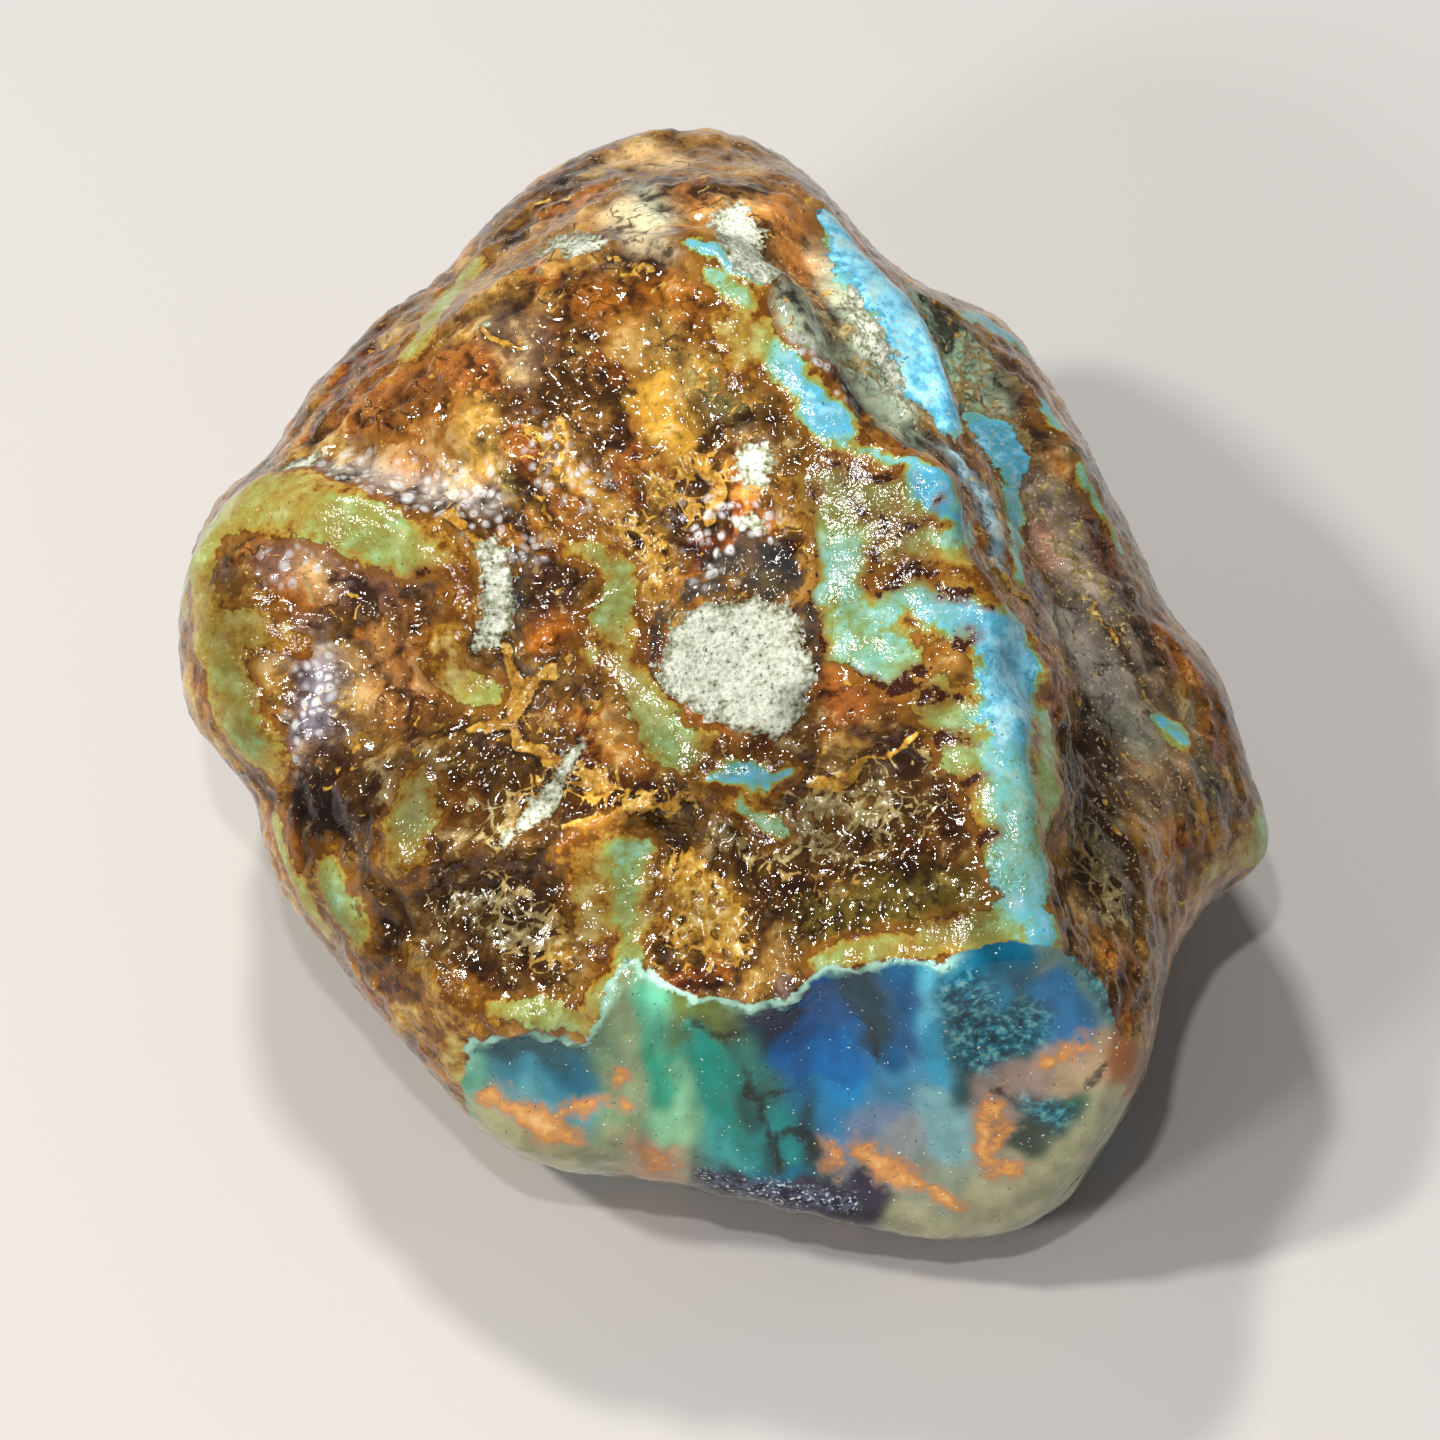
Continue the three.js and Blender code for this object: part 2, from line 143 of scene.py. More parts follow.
# Stains: colour, strength and places.
STAINS = {
    "umber, lower half": ("#40260f", 0.75, [
        (-12.0, -4.0, 2.4), (-6.0, -5.6, 3.0), (3.0, -5.6, 3.0), (9.4, -3.6, 2.0),
    ]),
    "umber, lower left": ("#3a2212", 0.75, [(-14.6, -3.0, 1.6), (-12.4, -8.6, 2.4), (-7.4, -9.4, 2.2)]),
    "brown of the flank": ("#7c6a5a", 0.65, [(13.6, 9.0, 2.0), (15.6, 4.0, 2.4), (17.0, -2.0, 2.6)]),
    "tan ground of the far lobe": ("#b88450", 0.7, [
        (-8.4, 17.8, 1.6), (-5.6, 20.0, 2.4), (-1.0, 21.2, 2.6), (2.6, 20.6, 1.8),
    ]),
    "brown cap, far lobe": ("#94683a", 0.8, [(-2.2, 23.2, 0.8), (0.4, 23.0, 0.9), (1.8, 22.4, 0.9)]),
    "tan, far lobe": ("#deb07a", 0.85, [(-5.0, 21.6, 0.9), (-3.4, 22.2, 0.9), (-2.2, 21.6, 0.7)]),
    "rust, far lobe": ("#b0662a", 0.8, [(-6.8, 20.0, 0.8), (-5.4, 20.6, 0.7)]),
    "second rust, far lobe": ("#ac6a34", 0.8, [(-1.2, 21.2, 0.6), (-0.8, 20.0, 0.4)]),
    "milky tan, far lobe": ("#e8cca6", 0.9, [(-4.0, 19.9, 0.8), (-2.8, 18.9, 0.9), (-2.2, 18.2, 0.6)]),
    "grey milk, far lobe": ("#b4b8a4", 0.8, [(-3.3, 20.9, 0.35), (-2.5, 19.6, 0.35)]),
    "rust, far right": ("#b06c34", 0.8, [
        (2.4, 20.2, 0.8), (2.9, 18.4, 0.7), (3.4, 16.6, 0.7), (3.8, 15.0, 0.6),
    ]),
    "rust, upper left": ("#a4602a", 0.8, [(-15.0, 12.0, 1.2), (-12.6, 12.6, 1.8), (-10.4, 13.4, 1.3)]),
    # Partly milky opal, partly a painted highlight where light gathers above the shoulder.
    "milk and painted sheen above the shoulder": ("#a89c98", 0.75, [
        (-15.4, 9.6, 0.6), (-13.4, 9.2, 0.8), (-11.4, 8.5, 0.8), (-9.6, 8.4, 0.6),
    ]),
    "orange, upper left": ("#b4702c", 0.7, [(-12.2, 10.6, 1.2), (-10.6, 11.4, 0.9)]),
    "amber, upper left": ("#b88a40", 0.85, [(-9.9, 11.4, 0.9), (-9.5, 9.9, 0.8)]),
    "olive, valley": ("#7f7c44", 0.6, [(-8.5, 9.2, 0.5)]),
    "mauve, upper middle": ("#74594a", 0.8, [(-9.0, 15.6, 0.8), (-8.0, 14.8, 1.1), (-7.4, 13.4, 0.9)]),
    "rust, upper middle": ("#b0641e", 0.85, [
        (-5.6, 16.4, 1.0), (-4.0, 16.0, 1.1), (-2.4, 16.6, 0.9), (-0.6, 15.8, 0.8),
    ]),
    "amber, upper middle": ("#c09048", 0.75, [(-3.6, 14.6, 0.8), (-2.2, 14.9, 0.7)]),
    "brown disc, upper middle": ("#95642e", 0.85, [(-5.9, 12.8, 1.1), (-5.4, 11.8, 1.2)]),
    "amber blob": ("#cf9638", 0.95, [(-2.8, 12.6, 0.9), (-2.4, 11.4, 0.9), (-1.6, 10.6, 0.8)]),
    "olive cream speckles": ("#a59a58", 0.7, [(-0.6, 13.6, 0.9), (0.4, 12.4, 0.8)]),
    "umber, upper right": ("#5f3d16", 0.8, [(1.6, 11.8, 0.8), (2.8, 10.6, 0.7)]),
    "umber, shoulder hollow": ("#3a2118", 0.85, [(-16.8, 1.8, 0.9), (-16.0, 0.2, 0.9), (-15.8, -1.4, 0.7)]),
    "tan in the hollow": ("#b08a60", 0.8, [(-15.2, 1.6, 0.5), (-14.6, 0.6, 0.4)]),
    # Painted highlight: a pale lilac streak where light glances down the hollow.
    "painted highlight streak of the hollow": ("#8c8494", 0.8, [
        (-17.0, 2.2, 0.3), (-15.9, 1.4, 0.3), (-16.5, -0.4, 0.3), (-17.3, -2.0, 0.2),
    ]),
    "mauve brown, shoulder": ("#80564a", 0.9, [(-17.8, 6.0, 1.0), (-15.6, 5.6, 1.2), (-13.8, 4.6, 0.9)]),
    "cream patch of the shoulder": ("#d8a870", 0.9, [(-16.5, 5.5, 0.35), (-16.0, 4.8, 0.3)]),
    "rust of the shoulder": ("#a45a1e", 0.8, [(-17.4, 4.2, 0.5), (-16.4, 3.9, 0.4)]),
    "tan slope of the shoulder": ("#9c6c3c", 0.8, [
        (-13.6, 3.0, 0.8), (-13.4, 1.2, 0.9), (-13.8, -0.2, 0.6),
    ]),
    "rust grain, lower shoulder": ("#8c5428", 0.7, [(-12.2, 3.6, 0.9), (-12.4, -0.4, 1.0)]),
    "brown about the star": ("#6e4220", 0.7, [
        (-9.8, 1.8, 0.7), (-9.6, 0.2, 0.7), (-7.0, -0.2, 0.7), (-6.6, -1.4, 0.6),
    ]),
    "umber disc": ("#3f241a", 0.95, [(-6.9, 5.4, 0.9), (-6.6, 4.4, 1.0), (-7.3, 3.2, 0.7)]),
    "orange pip": ("#c0691c", 0.95, [(-7.2, 2.6, 0.4), (-6.2, 3.0, 0.35)]),
    "umber round patch": ("#2c1c16", 0.97, [(-16.6, -3.4, 1.1), (-15.8, -4.8, 1.3)]),
    "rust by the break": ("#a06028", 0.7, [(-14.6, -9.4, 0.6), (-13.2, -11.0, 0.7)]),
    "umber left of the knobs": ("#2e1c10", 0.9, [(-2.6, -7.0, 0.3), (-2.5, -9.0, 0.4)]),
    "umber under the eye": ("#4c2a12", 0.8, [(0.6, -2.0, 0.5), (3.0, -1.2, 0.7), (5.2, 0.2, 0.6)]),
    "umber by the ridge": ("#3a2010", 0.85, [(6.6, -0.8, 0.7), (8.4, -2.4, 0.8), (9.6, -4.6, 0.8)]),
    "ochre knobs": ("#c98a2a", 0.7, [(-1.5, -7.2, 0.9), (-0.4, -8.4, 1.2)]),
    "ochre about the eye": ("#b98035", 0.7, [(-2.8, 6.6, 1.0), (-2.6, 4.4, 0.6)]),
    "rust right of the eye": ("#b0622a", 0.85, [(4.4, 1.2, 0.5), (5.0, 0.0, 0.5)]),
    "olive field over the break": ("#86742f", 0.75, [
        (4.0, -8.6, 0.9), (6.4, -8.2, 1.1), (9.0, -7.6, 1.0), (10.6, -8.2, 0.7),
    ]),
    "grey green valley": ("#b6c0aa", 0.85, [
        (2.4, 16.6, 0.8), (4.2, 14.4, 1.1), (6.0, 12.2, 1.2), (7.6, 10.8, 0.8),
    ]),
    "slate blue by the flank": ("#7ca6ba", 0.9, [
        (9.3, 10.1, 0.6), (10.3, 8.6, 0.8), (11.0, 7.0, 0.6), (11.4, 5.6, 0.4),
    ]),
    "grey green hump": ("#b0bca2", 0.85, [(9.4, 15.0, 0.8), (10.2, 13.4, 1.2), (10.8, 12.2, 0.9)]),
    "mint skin of the cyan ridge": ("#c8d8c0", 0.85, [
        (4.4, 18.4, 0.5), (5.2, 16.4, 0.8), (6.2, 14.6, 0.9), (7.2, 12.6, 0.7),
    ]),
    "mint skin, right": ("#a8c8a8", 0.8, [(7.6, 16.6, 0.5), (9.0, 14.6, 0.6), (9.8, 12.4, 0.6)]),
    "maroon of the hump": ("#6c4c44", 0.85, [(11.7, 13.6, 0.5), (12.4, 12.8, 0.5)]),
    "olive brown margin": ("#6c6444", 0.75, [
        (13.2, 12.0, 0.5), (14.6, 9.6, 0.7), (15.8, 7.4, 0.7), (17.0, 4.8, 0.6),
    ]),
    "rust spot of the flank": ("#b06c24", 0.85, [(13.3, 10.1, 0.35), (13.7, 9.5, 0.35)]),
    "pink grey of the flank": ("#b09a8e", 0.85, [(12.6, 8.4, 0.8), (13.8, 6.4, 1.0), (15.2, 4.4, 0.9)]),
    "rust of the flank": ("#96523c", 0.75, [(14.8, 7.4, 0.4), (15.3, 5.8, 0.4)]),
    "second rust of the flank": ("#96523c", 0.75, [(12.9, 7.2, 0.35), (13.2, 6.4, 0.35)]),
    "grey streaks of the flank": ("#8f8b7c", 0.85, [(13.4, 3.2, 0.7), (14.8, 1.6, 1.0), (16.6, -0.8, 0.9)]),
    "lilac grey of the flank": ("#a0908a", 0.85, [(12.8, 4.8, 0.7), (14.2, 2.8, 0.9), (15.4, 0.8, 0.7)]),
    "umber foot of the flank": ("#301a0c", 0.9, [(13.9, -0.8, 0.7), (14.6, -3.6, 1.4), (15.6, -7.2, 1.6)]),
    "rust of the outer lobe": ("#965318", 0.85, [(17.4, 3.2, 0.8), (19.4, 0.8, 0.9), (20.6, -1.4, 0.8)]),
    "slate behind the tip": ("#6f6852", 0.8, [(18.6, -0.8, 0.7), (19.6, -3.2, 0.8)]),
}

# Seams of clay: places.
SEAMS = {
    "star, down": [
        (-9.0, 2.8, 0.15), (-8.5, 1.7, 0.24), (-8.0, 0.6, 0.46), (-8.2, -0.6, 0.28), (-8.0, -1.6, 0.24),
        (-7.2, -2.2, 0.22), (-6.4, -2.8, 0.2),
    ],
    "star, right": [(-8.0, 0.6, 0.4), (-6.9, 1.3, 0.22), (-6.0, 1.9, 0.1)],
    "star, left": [(-8.2, -0.5, 0.3), (-9.2, -0.8, 0.16), (-10.8, -0.9, 0.1), (-11.6, -1.3, 0.06)],
    "about the clay spot": [(-0.9, 9.8, 0.3), (-0.2, 8.6, 0.4), (-0.5, 7.6, 0.3)],
    "from the valley": [(-10.9, 7.7, 0.18), (-10.1, 7.1, 0.22), (-9.5, 6.3, 0.12)],
    "under the dash": [
        (-6.3, -4.9, 0.1), (-5.3, -4.7, 0.28), (-4.3, -4.6, 0.34), (-3.4, -4.2, 0.18), (-1.6, -3.9, 0.06),
    ],
    "right of the sliver": [(3.1, -3.3, 0.12), (4.7, -2.9, 0.3), (6.3, -2.2, 0.14), (7.6, -1.2, 0.1)],
    "upper left": [(-9.4, 15.3, 0.16), (-8.9, 14.6, 0.16), (-8.3, 14.2, 0.12)],
    "middle left": [(-8.0, 11.3, 0.06), (-6.9, 10.3, 0.14)],
    "far side": [(-4.1, 18.0, 0.2), (-3.1, 17.4, 0.12)],
    "over the bar": [(-8.1, 8.7, 0.16), (-7.3, 8.2, 0.14), (-6.8, 7.4, 0.16)],
    "amber skin of the ridge": [(9.9, 4.7, 0.35), (11.2, 4.0, 0.3), (12.3, 2.9, 0.22), (13.3, 1.3, 0.1)],
    "white skin of the ridge": [(10.9, 5.5, 0.16), (11.7, 4.8, 0.18), (12.5, 3.8, 0.1)],
    "streak down the flank": [(12.6, 3.0, 0.06), (13.8, 1.2, 0.12), (14.8, -0.6, 0.08), (15.6, -2.4, 0.03)],
    "second streak": [(14.6, 4.6, 0.04), (15.8, 2.6, 0.1), (17.2, 0.0, 0.05)],
    "thread at the foot": [(13.4, -1.6, 0.08), (13.9, -3.2, 0.1), (14.4, -5.2, 0.1), (14.6, -7.0, 0.04)],
    "second thread at the foot": [(15.2, -2.6, 0.04), (15.6, -4.6, 0.1), (16.4, -6.2, 0.05)],
}

# Fields of lace, each place with how full the lace is there as well.
LACE = {
    "around the star": [(-8.0, 0.5, 1.6, 0.2), (-6.5, -1.5, 1.4, 0.3)],
    "between the middle band and the eye": [
        (-3.4, 6.6, 1.0, 0.9), (-2.7, 5.4, 0.9, 0.8), (-2.6, 3.8, 0.5, 0.6),
    ],
    "over the eye": [(-2.0, 8.6, 1.4, 0.6), (-0.6, 10.0, 0.8, 0.6), (-0.2, 7.4, 0.5, 0.7)],
    "right over the eye": [(2.6, 9.2, 0.7, 0.7), (2.9, 7.2, 0.6, 0.7), (3.0, 5.0, 0.4, 0.6)],
    "olive cream speckles": [(-0.6, 13.4, 1.0, 0.7), (0.8, 12.2, 0.8, 0.6)],
    "ochre knobs": [(-1.6, -6.4, 1.1, 0.8), (-0.8, -8.4, 1.5, 1.1), (0.5, -9.6, 0.9, 1.0)],
    "under the slivers": [
        (1.2, -4.6, 1.5, 0.6), (3.4, -5.0, 1.8, 0.65), (5.8, -4.2, 1.7, 0.6), (7.8, -3.0, 1.2, 0.5),
    ],
    "over the olive field": [(3.4, -7.0, 1.0, 0.5), (7.6, -5.8, 1.0, 0.4)],
    "lower left": [(-10.6, -7.6, 1.2, 0.5), (-8.6, -8.0, 1.3, 0.6), (-7.0, -9.4, 1.4, 0.75)],
    "foot of the flank": [(13.6, -3.0, 1.0, 0.5), (14.6, -5.6, 1.4, 0.6), (15.6, -8.0, 1.2, 0.5)],
    "upper left": [(-7.4, 11.4, 1.3, 0.4), (-6.8, 9.6, 0.9, 0.55)],
    "left of the dash": [(-9.8, -2.6, 1.3, 0.45), (-9.2, -4.6, 1.0, 0.65), (-7.6, -3.2, 0.8, 0.6)],
    "right of the dash": [(-5.2, -2.8, 0.9, 0.8), (-3.6, -3.8, 0.8, 0.7), (-1.6, -3.8, 0.8, 0.6)],
    "shoulder hollow": [(-15.6, 0.4, 0.9, 0.45)],
    "valley": [(-11.0, 7.8, 0.8, 0.6)],
    "valley, hump and flank": [
        (2.8, 17.4, 0.8, 0.4), (5.6, 13.4, 1.4, 0.55), (9.8, 13.4, 1.8, 0.5), (12.6, 8.4, 1.4, 0.5),
        (15.4, 4.0, 1.6, 0.45),
    ],
}

# Where the lace is pale, not ochre, and where pearls (partly painted highlights) stand in the host.
PALE_LACE = {
    "under the slivers": [(0.6, -4.4, 1.6), (3.4, -4.4, 2.4), (7.4, -3.4, 2.0)],
    "left of the dash": [(-9.6, -4.0, 1.4), (-11.0, -8.0, 1.8), (-8.0, -8.6, 1.4)],
    "valley, hump and flank": [
        (2.4, 17.6, 1.4), (6.0, 12.8, 2.0), (10.4, 13.0, 2.4), (14.0, 6.0, 2.6), (17.4, 0.0, 2.4),
    ],
    "foot of the flank": [(13.8, -2.6, 1.4), (15.4, -7.6, 2.2)],
    "far lobe": [(-7.0, 17.6, 1.6), (-2.0, 20.0, 2.4)],
}
PEARL_HIGHLIGHTS = {
    "above the shoulder": [
        (-15.6, 9.7, 0.7), (-13.4, 9.2, 0.9), (-11.4, 8.2, 0.9), (-9.4, 8.9, 0.8), (-9.6, 7.6, 0.6),
    ],
    "on the shoulder": [(-18.0, 5.8, 0.5), (-16.6, 5.4, 0.8), (-15.2, 5.8, 0.5)],
    "in the hollow": [(-17.2, 2.2, 0.6), (-15.8, 1.7, 0.6), (-16.4, -0.2, 0.5), (-17.3, -2.0, 0.3)],
    "over the eye": [(-1.2, 7.4, 0.6), (0.2, 7.6, 0.8), (1.6, 7.0, 0.7), (0.6, 6.2, 0.7), (-0.8, 5.8, 0.6)],
    "right of the bar": [(-8.3, 6.6, 0.6), (-7.4, 6.2, 0.4)],
    "upper middle": [(-6.8, 9.4, 0.7), (-5.2, 8.6, 0.6), (-7.6, 11.0, 0.5)],
    "below the valley": [(3.2, 14.4, 0.6), (4.6, 12.8, 0.5)],
}

# The right flank, where the host is drawn out in streaks.
FLANK = [
    (3.4, 16.6, 1.2), (5.6, 17.8, 1.1), (7.4, 15.6, 1.4), (6.6, 12.4, 1.4), (9.6, 12.0, 1.8),
    (12.4, 7.6, 2.0), (14.6, 2.4, 2.6), (16.8, -2.4, 2.6), (16.2, -7.0, 2.0),
]
FLANK_GRAIN = ((11.0, 6.0), (17.0, -3.0))  # its streaks run from the first place to the second
STREAK_SIZE = 0.55  # across the streaks, in millimetres
STREAK_DRAW = 0.86  # how much they are drawn out along their run

HIDDEN = (0.15, -0.35)  # how far a side faces the eye, where it starts to be hidden and is
HIDDEN_LACE = 0.6  # how full the lace is on the hidden sides
HIDDEN_LACE_SIZE = 7.0  # of its patches, in millimetres

# Colours of the host's three kinds, and of its two kinds of clay, from the darkest tone on.
EARTH = [
    (0.0, "#26150b"), (0.22, "#442a13"), (0.42, "#6c481f"), (0.6, "#96692e"), (0.8, "#b98d4c"),
    (1.0, "#d3b47c"),
]
RUST = [
    (0.0, "#281008"), (0.22, "#4f250e"), (0.42, "#824316"), (0.6, "#aa6626"), (0.8, "#c68a42"),
    (1.0, "#dcb27a"),
]
MAUVE = [(0.0, "#1d1210"), (0.25, "#412a22"), (0.5, "#6f5245"), (0.75, "#94786a"), (1.0, "#c0a896")]
OCHRE_CLAY = [(0.0, "#6e4315"), (0.35, "#a8762a"), (0.7, "#c89a44"), (1.0, "#dcc084")]
CREAM_CLAY = [(0.0, "#5c4b2c"), (0.35, "#87724a"), (0.7, "#ab956a"), (1.0, "#d2c29c")]
DARK_TONE = "#24120a"
LIGHT_TONE = "#dab886"
GREY_STREAK = "#a5968a"
CONTOUR = "#2a1409"
LACE_SHADOW = "#221208"
PIT = "#170b07"
FLECK = "#d8bd9c"


def wavering(points, wobbles):
    """The points moved about by soft noise of the given sizes and depths."""
    moved = points.copy()
    for size, depth in wobbles:
        moved += depth * np.array([noise.noise_vector(Vector(point) / size) for point in points])
    return moved


from_middle = skin - middle
place = np.stack([from_middle @ across, from_middle @ upward, from_middle @ outward], axis=1)
noise.seed_set(WAVER_SEED)
wavy = wavering(skin, WOBBLES)


def on_skin(right, up):
    """The spot of the skin that the eye sees there, or the closest one to it."""
    target = middle + right * across + up * upward
    hit = lump.ray_cast(Vector(eye * MM), Vector(target - eye))[0]
    if hit is None:
        hit = lump.find_nearest(Vector(target * MM))[0]
    return np.array(hit) / MM


def laid(path):
    """A path as spots on the skin, each with its half width and any further values."""
    rows = [np.array(row) for row in path]
    spots = [rows[0]]
    for a, b in zip(rows, rows[1:]):
        steps = max(1, math.ceil(math.dist(a[:2], b[:2]) / STEP))
        spots += [a + (b - a) * (k + 1) / steps for k in range(steps)]
    return np.array([[*on_skin(spot[0], spot[1]), *spot[2:]] for spot in spots])


def depth_in(path):
    """How deep each point of the skin is inside a path, in millimetres and as a share of its half
    width, and the path's value there."""
    spots = laid(path)
    nearby = ((wavy > spots[:, :3].min(0) - REACH) & (wavy < spots[:, :3].max(0) + REACH)).all(1)
    close = np.flatnonzero(nearby)
    depth = np.full(len(wavy), -REACH)
    share_in = np.full(len(wavy), -1.0)
    value = np.full(len(wavy), spots[0, -1])
    for a, b in zip(spots, spots[1:] if len(spots) > 1 else spots):
        leg = b - a
        offset = wavy[close] - a[:3]
        share = np.clip(offset @ leg[:3] / max(leg[:3] @ leg[:3], 1e-9), 0, 1)
        half = a[3] + share * leg[3]
        inside = half - np.linalg.norm(offset - share[:, None] * leg[:3], axis=1)
        deeper = inside > depth[close]
        depth[close[deeper]] = inside[deeper]
        share_in[close[deeper]] = np.maximum(inside / half, -1)[deeper]
        value[close[deeper]] = (a[-1] + share * leg[-1])[deeper]
    return depth, share_in, value


def deepest(paths):
    """How deep each point of the skin is inside the deepest of several paths."""
    return np.max([depth_in(path)[0] for path in paths.values()], axis=0)


def swells(points, size):
    """Soft noise from about -0.5 to 0.5 at each point, in swells of the given size."""
    return np.array([noise.noise(Vector(point) / size) for point in points])


def eased(value, start, end):
    """0 before the start, 1 past the end, and smooth between."""
    share = np.clip((value - start) / (end - start), 0, 1)
    return share * share * (3 - 2 * share)


def paint(code):
    """A colour from its hex code, as linear light."""
    parts = [int(code[k:k + 2], 16) / 255 for k in (1, 3, 5)]
    return tuple(p / 12.92 if p <= 0.04045 else ((p + 0.055) / 1.055) ** 2.4 for p in parts) + (1.0,)


stain = np.zeros((len(skin), 4))
for code, strength, path in STAINS.values():
    cover = strength * eased(depth_in(path)[0], -0.9, 0.5)[:, None]
    stain = stain * (1 - cover) + np.array(paint(code)) * cover
seam = deepest(SEAMS)
lace = np.max([eased(depth, -0.9, 0.9) * full for depth, _, full in map(depth_in, LACE.values())], axis=0)
behind = eased(normals @ outward, *HIDDEN)
lace = np.maximum(lace, HIDDEN_LACE * behind * eased(swells(skin, HIDDEN_LACE_SIZE), 0.0, 0.5))
pale = eased(deepest(PALE_LACE), -1.0, 1.0)
pearl_highlight = eased(deepest(PEARL_HIGHLIGHTS), -0.8, 0.4)

flank = eased(depth_in(FLANK)[0], -1.0, 1.0)
run = on_skin(*FLANK_GRAIN[1]) - on_skin(*FLANK_GRAIN[0])
run /= np.linalg.norm(run)
drawn = skin - STREAK_DRAW * (skin @ run)[:, None] * run
streak = (swells(drawn, STREAK_SIZE) + swells(drawn, 2 * STREAK_SIZE)) * flank

tree = None  # the node tree in hand: the skin's relief, and then its finish


class Wire:
    """What a node gives out. Sums on wires add the nodes that do them."""

    def __init__(self, socket):
        self.socket = socket

    def __add__(self, other):
        return calc("ADD", self, other)

    def __sub__(self, other):
        return calc("SUBTRACT", self, other)

    def __mul__(self, other):
        return calc("MULTIPLY", self, other)

    def __truediv__(self, other):
        return calc("DIVIDE", self, other)

    def __abs__(self):
        return calc("ABSOLUTE", self)


def node(kind, inputs, **settings):
    """One node of the tree in hand, with its settings, and its inputs as values or wires."""
    made = tree.nodes.new(kind)
    for name, value in settings.items():
        setattr(made, name, value)
    for key, value in inputs.items():
        if isinstance(value, Wire):
            tree.links.new(value.socket, made.inputs[key])
        else:
            made.inputs[key].default_value = value
    return made


def wire(kind, inputs, given=0, **settings):
    """One node again, as what it gives out."""
    return Wire(node(kind, inputs, **settings).outputs[given])


def calc(operation, *values):
    """A sum on numbers."""
    return wire("ShaderNodeMath", dict(enumerate(values)), operation=operation)


def most(*values):
    """The highest of some numbers."""
    return reduce(lambda first, second: calc("MAXIMUM", first, second), values)


def move(operation, first, second):
    """A sum on vectors."""
    key = "Scale" if operation == "SCALE" else 1
    return wire("ShaderNodeVectorMath", {0: first, key: second}, operation=operation)


def swing(value, size):
    """A soft noise as a swing of the given size to either side of nothing."""
    return calc("MULTIPLY_ADD", value, 2.0 * size, -size)


def fade(value, start, end, low=0.0, high=1.0):
    """Smoothly from low, where the value is at start, to high, where it is at end."""
    inputs = {"Value": value, "From Min": start, "From Max": end, "To Min": low, "To Max": high}
    return wire("ShaderNodeMapRange", inputs, interpolation_type="SMOOTHSTEP")


def lerp(share, first, second):
    """From the first number to the second by the share."""
    return wire("ShaderNodeMix", {0: share, 2: first, 3: second})


def blend(share, first, second):
    """From the first colour to the second by the share."""
    return wire("ShaderNodeMix", {0: share, 6: first, 7: second}, 2, data_type="RGBA")


def coat(colour, cover, code):
    """A colour with another laid over it, as thick as the cover says."""
    return blend(cover, colour, paint(code))


def ramp(value, stops):
    """A colour picked along a row of stops."""
    made = node("ShaderNodeValToRGB", {"Fac": value})
    marks = made.color_ramp.elements
    for at, _ in stops[1:-1]:
        marks.new(at)
    for mark, (at, code) in zip(marks, stops):
        mark.position = at
        mark.color = paint(code)
    return Wire(made.outputs[0])


def cloud(where, scale, detail=3.0, rough=0.55, given=0):
    """Soft noise around 0.5, at so many swells a millimetre: a number, or with given 1 a vector."""
    inputs = {"Vector": where, "Scale": scale, "Detail": detail, "Roughness": rough}
    return wire("ShaderNodeTexNoise", inputs, given)


def cells(where, scale, feature="F1"):
    """A pattern of cells, so many a millimetre: the distance in them, and a colour for each."""
    made = node("ShaderNodeTexVoronoi", {"Vector": where, "Scale": scale}, feature=feature)
    return Wire(made.outputs[0]), Wire(made.outputs[1])


def field(name, form="Fac"):
    """A mark kept on the skin: a number (Fac), a Vector, a Color or its Alpha."""
    if tree.bl_idname == "GeometryNodeTree":
        kind = "FLOAT_VECTOR" if form == "Vector" else "FLOAT"
        return wire("GeometryNodeInputNamedAttribute", {"Name": name}, data_type=kind)
    return wire("ShaderNodeAttribute", {}, form, attribute_name=name)


def host_pattern(where):
    """The host's grains, kept on the skin: the way they flow, and their swells and edges."""
    half = (0.5, 0.5, 0.5)
    sway = move("SUBTRACT", cloud(where, 0.45, 2.0, given=1), half)
    ripple = move("SUBTRACT", cloud(where, 1.9, 2.0, given=1), half)
    flow = move("ADD", where, move("SCALE", sway, SWAY))
    flow = move("ADD", flow, move("SCALE", ripple, RIPPLE))
    nodule = node("ShaderNodeSeparateXYZ", {0: cells(flow, NODULES)[1]})
    return {
        "flow": flow,
        "net": cells(flow, NODULES, "DISTANCE_TO_EDGE")[0] / NODULES,
        "drift": cloud(where, 0.36, 5.0, 0.6),
        "warmth": cloud(move("ADD", where, (31.0, 7.0, 5.0)), 0.28, 5.0, 0.62),
        "swell": cloud(where, 0.9, 3.0),
        "nodule": Wire(nodule.outputs[0]),
        "nodule warmth": Wire(nodule.outputs[1]),
        "streaks": cloud(move("MULTIPLY", where, (1.6, 0.35, 0.8)), 0.9, 3.0, 0.6),
    }


